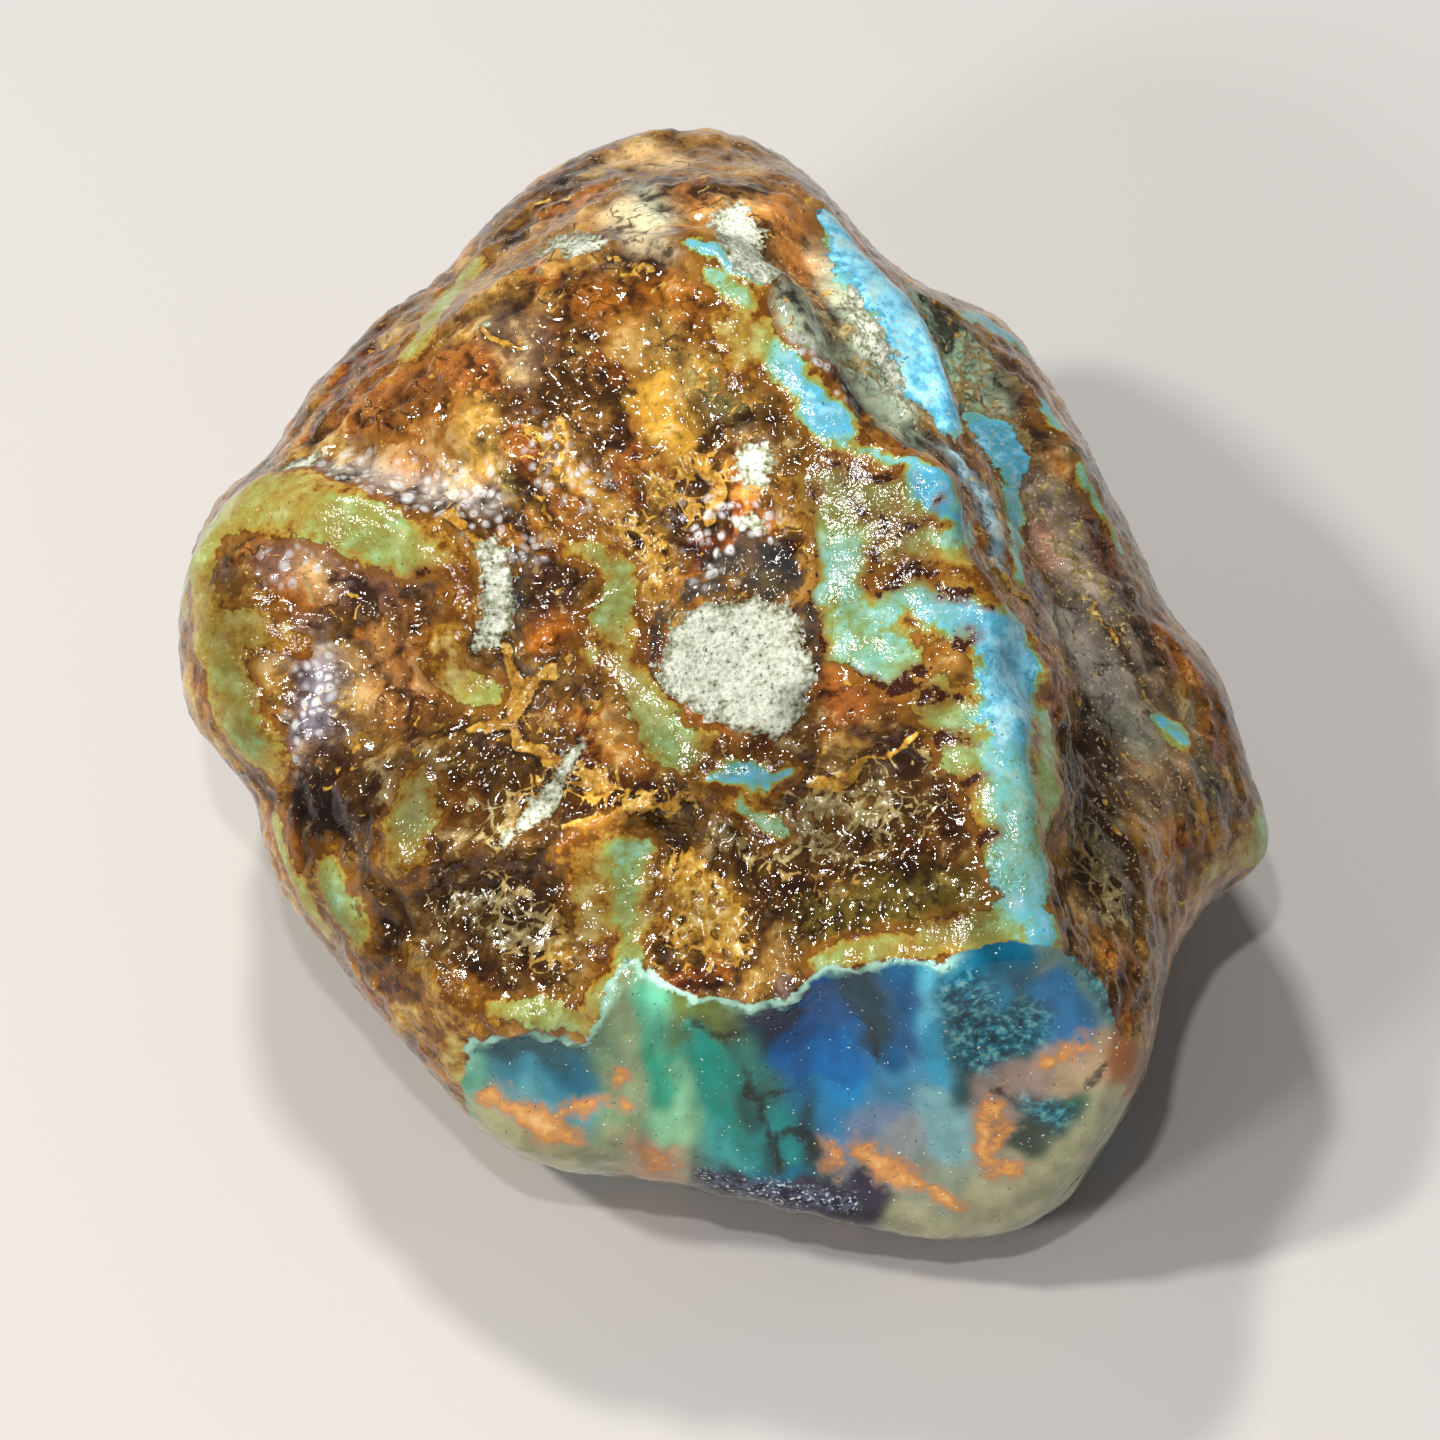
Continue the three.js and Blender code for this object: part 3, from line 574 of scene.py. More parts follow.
def host_finish(grain, grit, froth, strand, shard):
    """The host's colour and roughness."""
    net, swell, drift, warmth = map(field, ("net", "swell", "drift", "warmth"))
    lace, streak, flank = map(field, ("lace", "streak", "flank"))
    tone = swing(drift, 0.7) + swing(grain, 0.28) + swing(field("nodule"), 0.17) + swing(swell, 0.3)
    tone = tone + streak * 0.55 + fade(net, 0.0, 0.4, 0.34, 0.5)
    tone = tone + fade(strand, 0.02, 0.3, 0.07, -0.06) + swing(shard, 0.08)
    tone = lerp(flank * 0.5, tone, 0.56)
    kind = warmth + swing(field("nodule warmth"), 0.12)
    colour = blend(fade(kind, 0.48, 0.66), ramp(tone, EARTH), ramp(tone, RUST))
    colour = blend(fade(kind, 0.39, 0.31), colour, ramp(tone, MAUVE))
    stained = move("SCALE", field("stain", "Color"), fade(tone, 0.15, 0.9, 0.5, 1.5))
    stained = coat(stained, fade(tone, 0.36, 0.1, 0.0, 0.8), DARK_TONE)
    stained = coat(stained, fade(tone, 0.62, 0.9, 0.0, 0.45), LIGHT_TONE)
    colour = blend(field("stain", "Alpha"), colour, stained)
    colour = coat(colour, fade(streak, 0.3, 0.6, 0.0, 0.4), GREY_STREAK)
    contour = fade(abs(drift - 0.47), 0.014, 0.004) * fade(swell, 0.45, 0.6)
    colour = coat(colour, contour * 0.75, CONTOUR)

    # The lace: a web between beads, threads along the nodules' edges, gauze, and the seams.
    fullness = lace + swing(swell, 0.8)
    web = froth - (fade(fullness, 0.25, 1.2, 0.85, 0.36) + swing(grit, 0.06))
    thread = fade(fullness + swing(drift, 0.4), 0.15, 0.75, -0.05, 0.11) - net
    gauze = fade(fullness, 0.05, 1.0, -0.04, 0.13) + swing(grain, 0.07) - strand
    seam = field("seam") + swing(grain, 0.2)
    line = most(fade(web, 0.0, 0.08), fade(thread, -0.03, 0.03), fade(gauze, -0.02, 0.03),
                fade(seam, -0.06, 0.03))
    # Painted shade: the holes darken next to the lace's threads and gauze, and beside the seams.
    rim = most(fade(web, -0.22, 0.0), fade(gauze, -0.12, 0.0)) * lace
    rim = most(rim, fade(seam, -0.35, 0.0))
    colour = coat(colour, rim * 0.72, LACE_SHADOW)
    shade = swing(grain, 0.9) + fade(web, 0.0, 0.25, 0.36, 0.7)
    paleness = most(fade(warmth, 0.42, 0.34), field("pale")) * fade(seam, 0.0, -0.3)
    colour = blend(line, colour, blend(paleness, ramp(shade, OCHRE_CLAY), ramp(shade, CREAM_CLAY)))

    colour = coat(colour, fade(grit, 0.34, 0.27, 0.0, 0.6), PIT)
    speckled = most(fade(swell, 0.42, 0.58), flank)
    fleck = fade(calc("MULTIPLY_ADD", flank, 0.035, grit), 0.66, 0.73) * speckled
    colour = coat(colour, fleck * 0.65, FLECK)
    return colour, calc("MULTIPLY_ADD", line, 0.12, fade(grain, 0.35, 0.7, 0.04, 0.09))


# ------------------------------------------------------------------ the opal bands
# Opal filled the host's cracks as it formed. A band has a green, teal or blue heart that fades
# through ochre to a thin brown edge, and it is polished smooth by the wet. Its places are
# (right, up, half width, hue), with hue 0 ochre, 0.5 green and 1 blue.
BANDS = {
    "rim of the left shoulder": [
        (-17.9, -2.4, 0.6, 0.2), (-18.8, -1.5, 1.1, 0.56), (-19.5, -0.4, 0.9, 0.28),
        (-20.0, 1.5, 0.8, 0.34), (-20.4, 2.7, 0.8, 0.2), (-20.9, 4.3, 0.9, 0.22), (-21.0, 6.3, 1.2, 0.42),
        (-20.0, 7.7, 1.3, 0.3), (-18.6, 8.5, 1.3, 0.34), (-16.9, 8.3, 1.2, 0.24), (-15.4, 7.7, 1.1, 0.42),
        (-13.5, 6.9, 1.2, 0.5), (-12.3, 6.4, 1.0, 0.44), (-10.9, 5.7, 0.5, 0.1),
    ],
    "green edge of the shoulder": [(-21.5, 7.0, 0.4, 0.5), (-21.7, 5.4, 0.5, 0.56), (-21.4, 3.8, 0.4, 0.5)],
    "inner rim of the shoulder": [
        (-20.8, 2.7, 0.7, 0.3), (-19.3, 3.2, 0.6, 0.22), (-17.9, 3.0, 0.5, 0.15), (-17.0, 2.4, 0.3, 0.1),
    ],
    "amber band left of the clay bar": [
        (-10.2, 4.1, 0.45, 0.1), (-10.8, 3.1, 0.55, 0.14), (-11.2, 2.3, 0.6, 0.05),
        (-10.8, 1.5, 0.6, 0.12), (-10.1, 0.9, 0.6, 0.3), (-9.3, 0.5, 0.5, 0.45),
    ],
    "middle band": [
        (-6.0, 6.4, 0.3, 0.2), (-5.2, 6.3, 0.5, 0.42), (-4.4, 5.6, 0.6, 0.42), (-4.1, 4.7, 0.65, 0.4),
        (-4.3, 3.7, 0.75, 0.46), (-4.1, 2.5, 0.6, 0.3), (-3.9, 1.6, 0.55, 0.16), (-3.4, 0.6, 0.65, 0.3),
        (-2.7, -0.5, 0.8, 0.42), (-2.1, -1.3, 0.95, 0.52), (-1.3, -1.7, 0.75, 0.4),
        (-0.2, -1.8, 0.5, 0.02),
    ],
    "its short limb": [(-4.1, 2.2, 0.5, 0.2), (-5.2, 1.9, 0.5, 0.3)],
    "teal sliver": [
        (-0.5, -3.1, 0.14, 0.84), (0.5, -2.8, 0.5, 0.9), (1.5, -2.75, 0.36, 0.9), (2.6, -2.5, 0.12, 0.84),
    ],
    "pale sliver under it": [(0.7, -3.9, 0.2, 0.62), (1.5, -4.5, 0.25, 0.6), (2.4, -5.2, 0.2, 0.6)],
    "head of the right band": [
        (3.8, 8.6, 0.9, 0.2), (4.9, 8.6, 1.2, 0.36), (6.1, 8.1, 1.2, 0.36), (7.2, 7.6, 0.7, 0.08),
    ],
    "teal column of the right band": [
        (4.5, 7.6, 0.9, 0.5), (4.8, 6.3, 1.05, 0.68), (4.9, 5.0, 1.05, 0.7), (5.0, 4.0, 1.0, 0.62),
        (5.5, 2.9, 1.2, 0.68), (6.3, 2.3, 1.2, 0.74), (7.0, 1.6, 0.8, 0.6),
    ],
    "rib to the ridge": [
        (6.3, 3.6, 0.7, 0.75), (7.4, 4.4, 0.8, 0.75), (8.3, 3.9, 0.9, 0.86), (9.8, 3.6, 0.8, 0.9),
    ],
    "olive limb": [
        (6.8, 6.4, 0.5, 0.22), (7.8, 6.7, 0.75, 0.34), (8.9, 6.6, 0.8, 0.66), (9.9, 7.1, 0.5, 0.8),
    ],
    "orange limb": [(8.0, 5.9, 0.5, 0.05), (9.2, 5.6, 0.75, 0.12), (10.5, 5.2, 0.65, 0.04)],
    "blue bar above the limbs": [(7.7, 9.2, 0.6, 1.0), (8.5, 8.3, 0.85, 1.04), (9.5, 7.4, 0.75, 1.0)],
    "blue ridge": [
        (10.8, 3.4, 1.0, 1.08), (11.4, 2.2, 1.35, 1.14), (11.6, 0.6, 1.5, 1.12), (11.7, -0.8, 1.45, 1.02),
        (11.6, -2.1, 1.3, 0.86), (11.6, -3.7, 1.1, 0.74), (11.8, -5.7, 1.0, 0.72), (12.2, -7.7, 0.9, 0.84),
        (12.6, -9.5, 0.85, 0.95),
    ],
    "olive foot of the ridge": [
        (8.6, 0.2, 0.9, 0.34), (9.4, -0.8, 1.0, 0.56), (9.8, -2.2, 0.7, 0.5), (10.2, -3.4, 0.5, 0.2),
    ],
    "teal foot of the ridge": [(12.9, -0.6, 0.6, 0.56), (13.1, -2.6, 0.7, 0.52), (13.0, -4.4, 0.5, 0.5)],
    "edge of the crust above the break": [
        (-9.3, -12.1, 0.35, 0.3), (-7.2, -12.2, 0.5, 0.5), (-5.3, -12.6, 0.5, 0.32),
        (-4.6, -11.2, 0.5, 0.4),
    ],
    "edge of the crust, right": [
        (3.9, -10.4, 0.3, 0.5), (5.2, -9.7, 0.5, 0.4), (7.0, -9.6, 0.6, 0.32), (9.1, -9.3, 0.6, 0.26),
        (11.2, -8.9, 0.6, 0.5),
    ],
    "blue stroke, upper": [
        (2.0, 14.2, 0.5, 0.75), (2.9, 13.2, 0.7, 0.95), (3.7, 12.2, 0.75, 0.98), (4.4, 11.4, 0.75, 0.95),
        (4.9, 10.8, 0.4, 0.85),
    ],
    "lime head of the stroke": [(0.2, 15.2, 0.7, 0.14), (1.1, 14.6, 0.9, 0.3), (0.9, 13.4, 0.7, 0.04)],
    "shard under the stroke": [
        (3.6, 10.7, 0.1, 0.7), (4.9, 10.4, 0.16, 0.74), (6.3, 10.0, 0.2, 0.78), (7.6, 9.9, 0.16, 0.84),
    ],
    "cyan ridge": [
        (4.3, 19.6, 0.6, 1.1), (5.1, 18.2, 1.05, 1.14), (6.1, 17.1, 1.25, 1.16), (6.9, 16.1, 1.35, 1.16),
        (7.4, 15.1, 1.4, 1.16), (7.9, 14.0, 1.3, 1.16), (8.4, 12.8, 1.2, 1.12), (8.9, 11.8, 0.9, 1.06),
    ],
    "blue of the flank": [
        (9.9, 11.6, 0.4, 0.9), (10.8, 11.0, 0.8, 1.0), (11.4, 10.2, 0.8, 1.02), (11.6, 9.0, 0.45, 0.9),
        (11.7, 7.6, 0.4, 0.85), (11.8, 6.0, 0.35, 0.8), (11.9, 5.0, 0.25, 0.75),
    ],
    "edge of the upper hump": [(9.6, 15.8, 0.4, 0.8), (10.8, 15.3, 0.6, 0.96), (11.9, 14.4, 0.4, 0.85)],
    "edge of the hump, lower": [(12.9, 12.2, 0.4, 0.85), (13.5, 11.2, 0.35, 0.82)],
    "teal line of the flank": [(14.4, 9.4, 0.3, 0.68), (15.3, 7.6, 0.3, 0.66), (15.9, 6.2, 0.25, 0.66)],
    "upper left edge": [(-12.2, 14.4, 0.6, 0.3), (-11.4, 15.8, 0.6, 0.42), (-10.1, 17.5, 0.5, 0.36)],
    "blue sliver, far side": [(-1.5, 18.7, 0.3, 0.86), (-0.2, 18.2, 0.34, 0.9), (1.3, 17.2, 0.26, 0.86)],
    "teal scrap, far side": [(-0.2, 17.2, 0.4, 0.62), (0.9, 16.2, 0.5, 0.62)],
    "green stub": [
        (-4.3, -5.6, 0.7, 0.6), (-3.5, -5.9, 0.7, 0.62), (-3.8, -7.1, 0.65, 0.6), (-3.8, -8.6, 0.6, 0.52),
        (-3.6, -9.9, 0.6, 0.5),
    ],
    "ochre left of the stub": [(-5.5, -6.0, 0.6, 0.12), (-5.2, -7.3, 0.7, 0.16), (-4.9, -9.3, 0.6, 0.1)],
    "ochre right of the stub": [(-3.1, -6.9, 0.4, 0.08), (-3.1, -8.9, 0.45, 0.1)],
    "olive boss": [(-12.2, -3.3, 0.6, 0.2), (-12.6, -4.7, 0.95, 0.32), (-13.0, -6.1, 0.7, 0.2)],
    "pale green boss": [(-15.7, -6.4, 0.6, 0.4), (-15.4, -7.7, 0.85, 0.56), (-14.5, -9.0, 0.7, 0.4)],
    "green rim, lower left": [(-17.9, -4.6, 0.4, 0.3), (-17.4, -6.4, 0.4, 0.4), (-15.9, -9.0, 0.5, 0.3)],
    "amber wedge left of the break": [
        (-12.2, -10.5, 0.7, 0.02), (-11.1, -11.7, 0.8, 0.08), (-10.7, -13.0, 0.7, 0.05),
        (-10.8, -14.6, 0.5, 0.2),
    ],
    "lilac spot of the flank": [(17.6, -0.6, 0.4, 0.9), (18.4, -1.3, 0.45, 0.9)],
    "clear tip": [
        (21.9, -3.2, 0.5, 0.8), (22.0, -4.6, 0.9, 0.7), (21.0, -6.0, 0.8, 0.25), (19.4, -6.6, 0.5, 0.12),
    ],
}

# Open cracks beside and across the bands, and in the clay eye.
CRACKS = {
    "left of the teal column": [(3.6, 8.6, 0.06), (3.7, 6.6, 0.1), (3.6, 4.4, 0.08), (4.2, 2.2, 0.12)],
    "under the shard": [(3.2, 9.9, 0.12), (4.6, 9.7, 0.12), (6.0, 9.3, 0.12), (7.0, 9.3, 0.06)],
    "under the head": [
        (4.6, 9.2, 0.04), (5.6, 8.0, 0.08), (6.9, 6.9, 0.12), (8.2, 7.4, 0.1), (8.9, 8.4, 0.04),
    ],
    "notch": [(6.2, 6.9, 0.08), (6.0, 5.9, 0.16), (6.3, 4.7, 0.3), (7.2, 5.0, 0.28), (7.6, 5.7, 0.12)],
    "under the orange limb": [(7.6, 5.6, 0.16), (8.6, 4.9, 0.22), (9.6, 4.4, 0.22), (10.9, 4.0, 0.1)],
    "slope of the ridge": [
        (10.2, 3.0, 0.1), (9.0, 2.2, 0.26), (7.8, 1.2, 0.34), (6.4, 0.5, 0.4), (5.2, 1.4, 0.2),
    ],
    "teeth of the ridge's foot": [(8.0, 0.4, 0.3), (9.4, 0.5, 0.12)],
    "second tooth": [(8.2, -1.4, 0.4), (9.8, -1.2, 0.14)],
    "third tooth": [(9.4, -3.4, 0.4), (10.4, -3.0, 0.12)],
    "fourth tooth": [(9.8, -5.6, 0.5), (10.9, -5.2, 0.14)],
    "across the short limb": [(-5.6, 1.2, 0.2), (-4.8, 1.0, 0.12)],
    "shoulder crack": [(-12.2, 5.4, 0.2), (-11.2, 5.2, 0.12), (-10.3, 5.6, 0.1)],
    "over the amber band": [(-11.9, 4.0, 0.1), (-11.2, 4.3, 0.1), (-10.6, 4.9, 0.08)],
    "in the eye": [(0.4, 3.6, 0.01), (0.6, 2.7, 0.07), (0.7, 1.9, 0.02)],
    "lower in the eye": [(0.5, 0.8, 0.02), (0.4, 0.2, 0.07), (0.6, -0.4, 0.02)],
    "right in the eye": [(1.9, 1.5, 0.01), (2.0, 0.9, 0.05), (2.0, 0.3, 0.01)],
}
MERGING = 4.0  # how tightly bands run into each other, higher is tighter, per millimetre
SPREAD = 0.2  # how far bands run past their half width, in millimetres
WAVER = (0.5, 1.7)  # how far their edges swing, and in swells of this size, in millimetres

# Veins like them on the sides that the show side hides.
VEIN_SIZE = 8.0  # of their swells, in millimetres
VEIN_RUN = (0.45, 0.7, 1.3)  # how the veins are drawn out: least drawn up and down
VEIN_WIDTH = (0.6, 2.0)  # and how far it swings, in millimetres
VEIN_SLOPE = 9.0  # how fast a vein's depth falls off to its sides
VEIN_GONE = 2.0  # how far out of any vein the show side is, in millimetres

HUE_TOP = 1.16  # the hue of the palest cyan
BAND_HUES = [
    (0.0, "#6e3f12"), (0.08, "#98661f"), (0.2, "#a5863c"), (0.34, "#959048"), (0.46, "#8c9c5e"),
    (0.58, "#82ad92"), (0.7, "#72b2b2"), (0.84, "#56a6cc"), (1.0, "#88ccec"),
]
BAND_MILK = "#ccc898"
BAND_EDGE = "#2c1407"
CRACK_STAIN = "#7c4516"
CRACK = "#3a1a0a"
BAND_PIT = "#4a2c10"
BAND_FLECK = "#dcb890"

strokes = [depth_in(path) for path in BANDS.values()]
vein = swells(wavy * VEIN_RUN, VEIN_SIZE)
vein_width = VEIN_WIDTH[0] + VEIN_WIDTH[1] * swells(skin - 40.0, 0.7 * VEIN_SIZE)
vein_depth = (vein_width - VEIN_SLOPE * np.abs(vein)) * behind - VEIN_GONE * (1 - behind)
vein_hue = 0.5 + swells(skin + 99.0, VEIN_SIZE)
strokes.append((vein_depth, vein_depth, np.clip(vein_hue, 0.05, 1.0)))
depths, shares, hues = (np.array(values) for values in zip(*strokes))
pull = np.exp(MERGING * depths)
band = np.log(pull.sum(0)) / MERGING + SPREAD + WAVER[0] * swells(skin, WAVER[1])
heart = (pull * shares).sum(0) / pull.sum(0)
hue = (pull * hues).sum(0) / pull.sum(0)
crack = deepest(CRACKS)


def band_finish(grain, grit):
    """The bands' colour, roughness and cover."""
    swell, drift, flank = map(field, ("swell", "drift", "flank"))
    depth = field("band") + swing(grain, 0.4)
    inward = field("heart") + swing(grain, 0.5) + swing(drift, 1.3)
    tint = field("hue") * fade(inward, -0.65, 0.42, flank * 0.6)
    tint = tint + swing(swell, 0.3) + swing(grain, 0.2)
    colour = ramp(tint / HUE_TOP, BAND_HUES)
    milk = fade(swell, 0.45, 0.7, 0.0, 0.35) * fade(inward, 0.0, 0.6)
    colour = coat(colour, milk, BAND_MILK)
    light = fade(grain, 0.3, 0.7, 0.82, 1.1) * fade(swell, 0.3, 0.7, 0.88, 1.08)
    colour = move("SCALE", colour, light)
    edge = fade(abs(depth + 0.02), 0.14, 0.0) * fade(drift, 0.4, 0.55, 0.1, 0.85)
    colour = coat(colour, edge, BAND_EDGE)
    crack = field("crack") + swing(grain, 0.5)
    colour = coat(colour, fade(crack, -0.4, 0.0, 0.0, 0.7), CRACK_STAIN)
    colour = coat(colour, fade(crack, -0.08, 0.08), CRACK)
    colour = coat(colour, fade(grit, 0.3, 0.25, 0.0, 0.7), BAND_PIT)
    fleck = fade(calc("MULTIPLY_ADD", flank, 0.05, grit), 0.68, 0.76, 0.0, 0.6)
    colour = coat(colour, fleck, BAND_FLECK)
    return colour, fade(grit, 0.3, 0.7, 0.11, 0.17), fade(depth, -0.08, 0.06)


# ------------------------------------------------------------------ the clay pockets
# Pale, chalky clay sits in pockets of the crust, dry-looking even when wet, pitted and cracked.
# Soot-dark moss stands at the edges of some. Places are (right, up, half width).
CLAYS = {
    "the eye": [(-0.1, 1.9, 2.4), (1.4, 2.4, 2.1), (1.6, 0.9, 2.2)],
    "far patch": [(-0.3, 19.4, 0.4), (0.4, 19.6, 1.0), (0.9, 18.6, 1.2), (1.5, 17.7, 0.8)],
    "far patch, left": [(-7.0, 18.4, 0.5), (-6.1, 18.6, 0.75), (-5.1, 18.5, 0.5)],
    "bar": [(-9.0, 6.2, 0.65), (-9.0, 4.4, 0.75), (-9.2, 2.9, 0.55), (-9.7, 2.1, 0.25)],
    "dash": [(-5.7, -1.7, 0.22), (-6.5, -2.9, 0.42), (-7.5, -4.0, 0.5), (-8.7, -5.4, 0.25)],
    "spot": [(1.2, 9.7, 0.8)],
    "spot under it": [(0.9, 7.4, 0.45), (1.5, 7.1, 0.35)],
    "left fleck": [(-16.4, 10.0, 0.5), (-17.2, 9.8, 0.35)],
    "knob of the cream seam": [(-9.3, 15.4, 0.35)],
    "milk beside the cyan ridge": [
        (5.0, 16.6, 0.35), (5.8, 15.2, 0.55), (6.6, 13.8, 0.5), (7.2, 12.3, 0.4),
    ],
}
SOOT = {
    "over the eye": [(-1.4, 4.6, 0.3), (-0.2, 5.4, 0.6), (1.0, 6.2, 0.8), (1.8, 5.6, 0.9), (2.8, 5.0, 0.5)],
    "left of the eye": [(-2.5, 4.0, 0.2), (-2.9, 2.2, 0.3), (-2.1, 0.2, 0.25)],
    "right of the eye": [(3.7, 3.8, 0.25), (3.9, 1.9, 0.2)],
    "beside the bar": [(-8.2, 5.9, 0.4), (-8.4, 4.3, 0.4), (-8.4, 3.2, 0.3)],
}
CHALK = [(0.0, "#5c5844"), (0.3, "#9a9888"), (0.6, "#bdbaae"), (1.0, "#dedad2")]
CLAY_PIT = "#2b291c"
CLAY_CRACK = "#1e1d14"
CLAY_FRINGE = "#57562e"
SOOT_GREY = "#24282a"
CLAY_ROUGHNESS = 0.75

clay = deepest(CLAYS)
soot = deepest(SOOT)


def clay_finish(grain, grit, froth):
    """The clay's colour and cover, and where the soot lies."""
    fray = swing(grain, 0.6) + swing(grit, 0.3)
    depth = field("clay") + fray
    colour = ramp(swing(grit, 0.6) + swing(grain, 0.6) + 0.6, CHALK)
    colour = coat(colour, fade(grit, 0.32, 0.27, 0.0, 0.8), CLAY_PIT)
    crack = field("crack") + swing(grain, 0.3)
    colour = coat(colour, fade(crack, -0.12, 0.02, 0.0, 0.9), CLAY_CRACK)
    fringe = fade(depth, 0.55, 0.0) * fade(froth, 0.25, 0.5, 0.2, 1.0)
    colour = coat(colour, fringe * 0.8, CLAY_FRINGE)
    smudge = field("soot") + swing(field("swell"), 0.9)
    return colour, fade(depth, -0.05, 0.08), fade(smudge + fray, -0.35, 0.2)


# ------------------------------------------------------------------ the clear broken face
# The front of the stone broke clean through the opal. It is clear enough to look into: windows
# of blue, teal and smoke, with orange fire, grains of crust and a pale lip. Painted shadow darkens
# the windows under the lip, a painted highlight runs along its crest, and painted glints dot the
# face. Its edge is given right and up, clockwise from the left, and runs on below where the stone
# hides it.
BREAK_EDGE = [
    (-10.1, -13.4), (-8.9, -13.0), (-6.5, -12.9), (-5.5, -13.3), (-4.9, -12.6), (-4.4, -11.5),
    (-4.0, -10.6), (-3.6, -10.3), (-3.1, -10.6), (-2.3, -11.2), (-1.1, -11.7), (0.7, -11.9), (2.7, -11.7),
    (3.6, -11.0), (4.5, -10.4), (7.1, -10.2), (8.5, -10.3), (9.9, -9.9), (11.3, -9.5), (12.9, -9.6),
    (14.1, -10.3), (15.1, -11.3), (16.0, -13.0), (17.5, -14.5), (17.5, -26.0), (-9.9, -26.0),
    (-9.9, -17.5), (-10.3, -15.8),
]
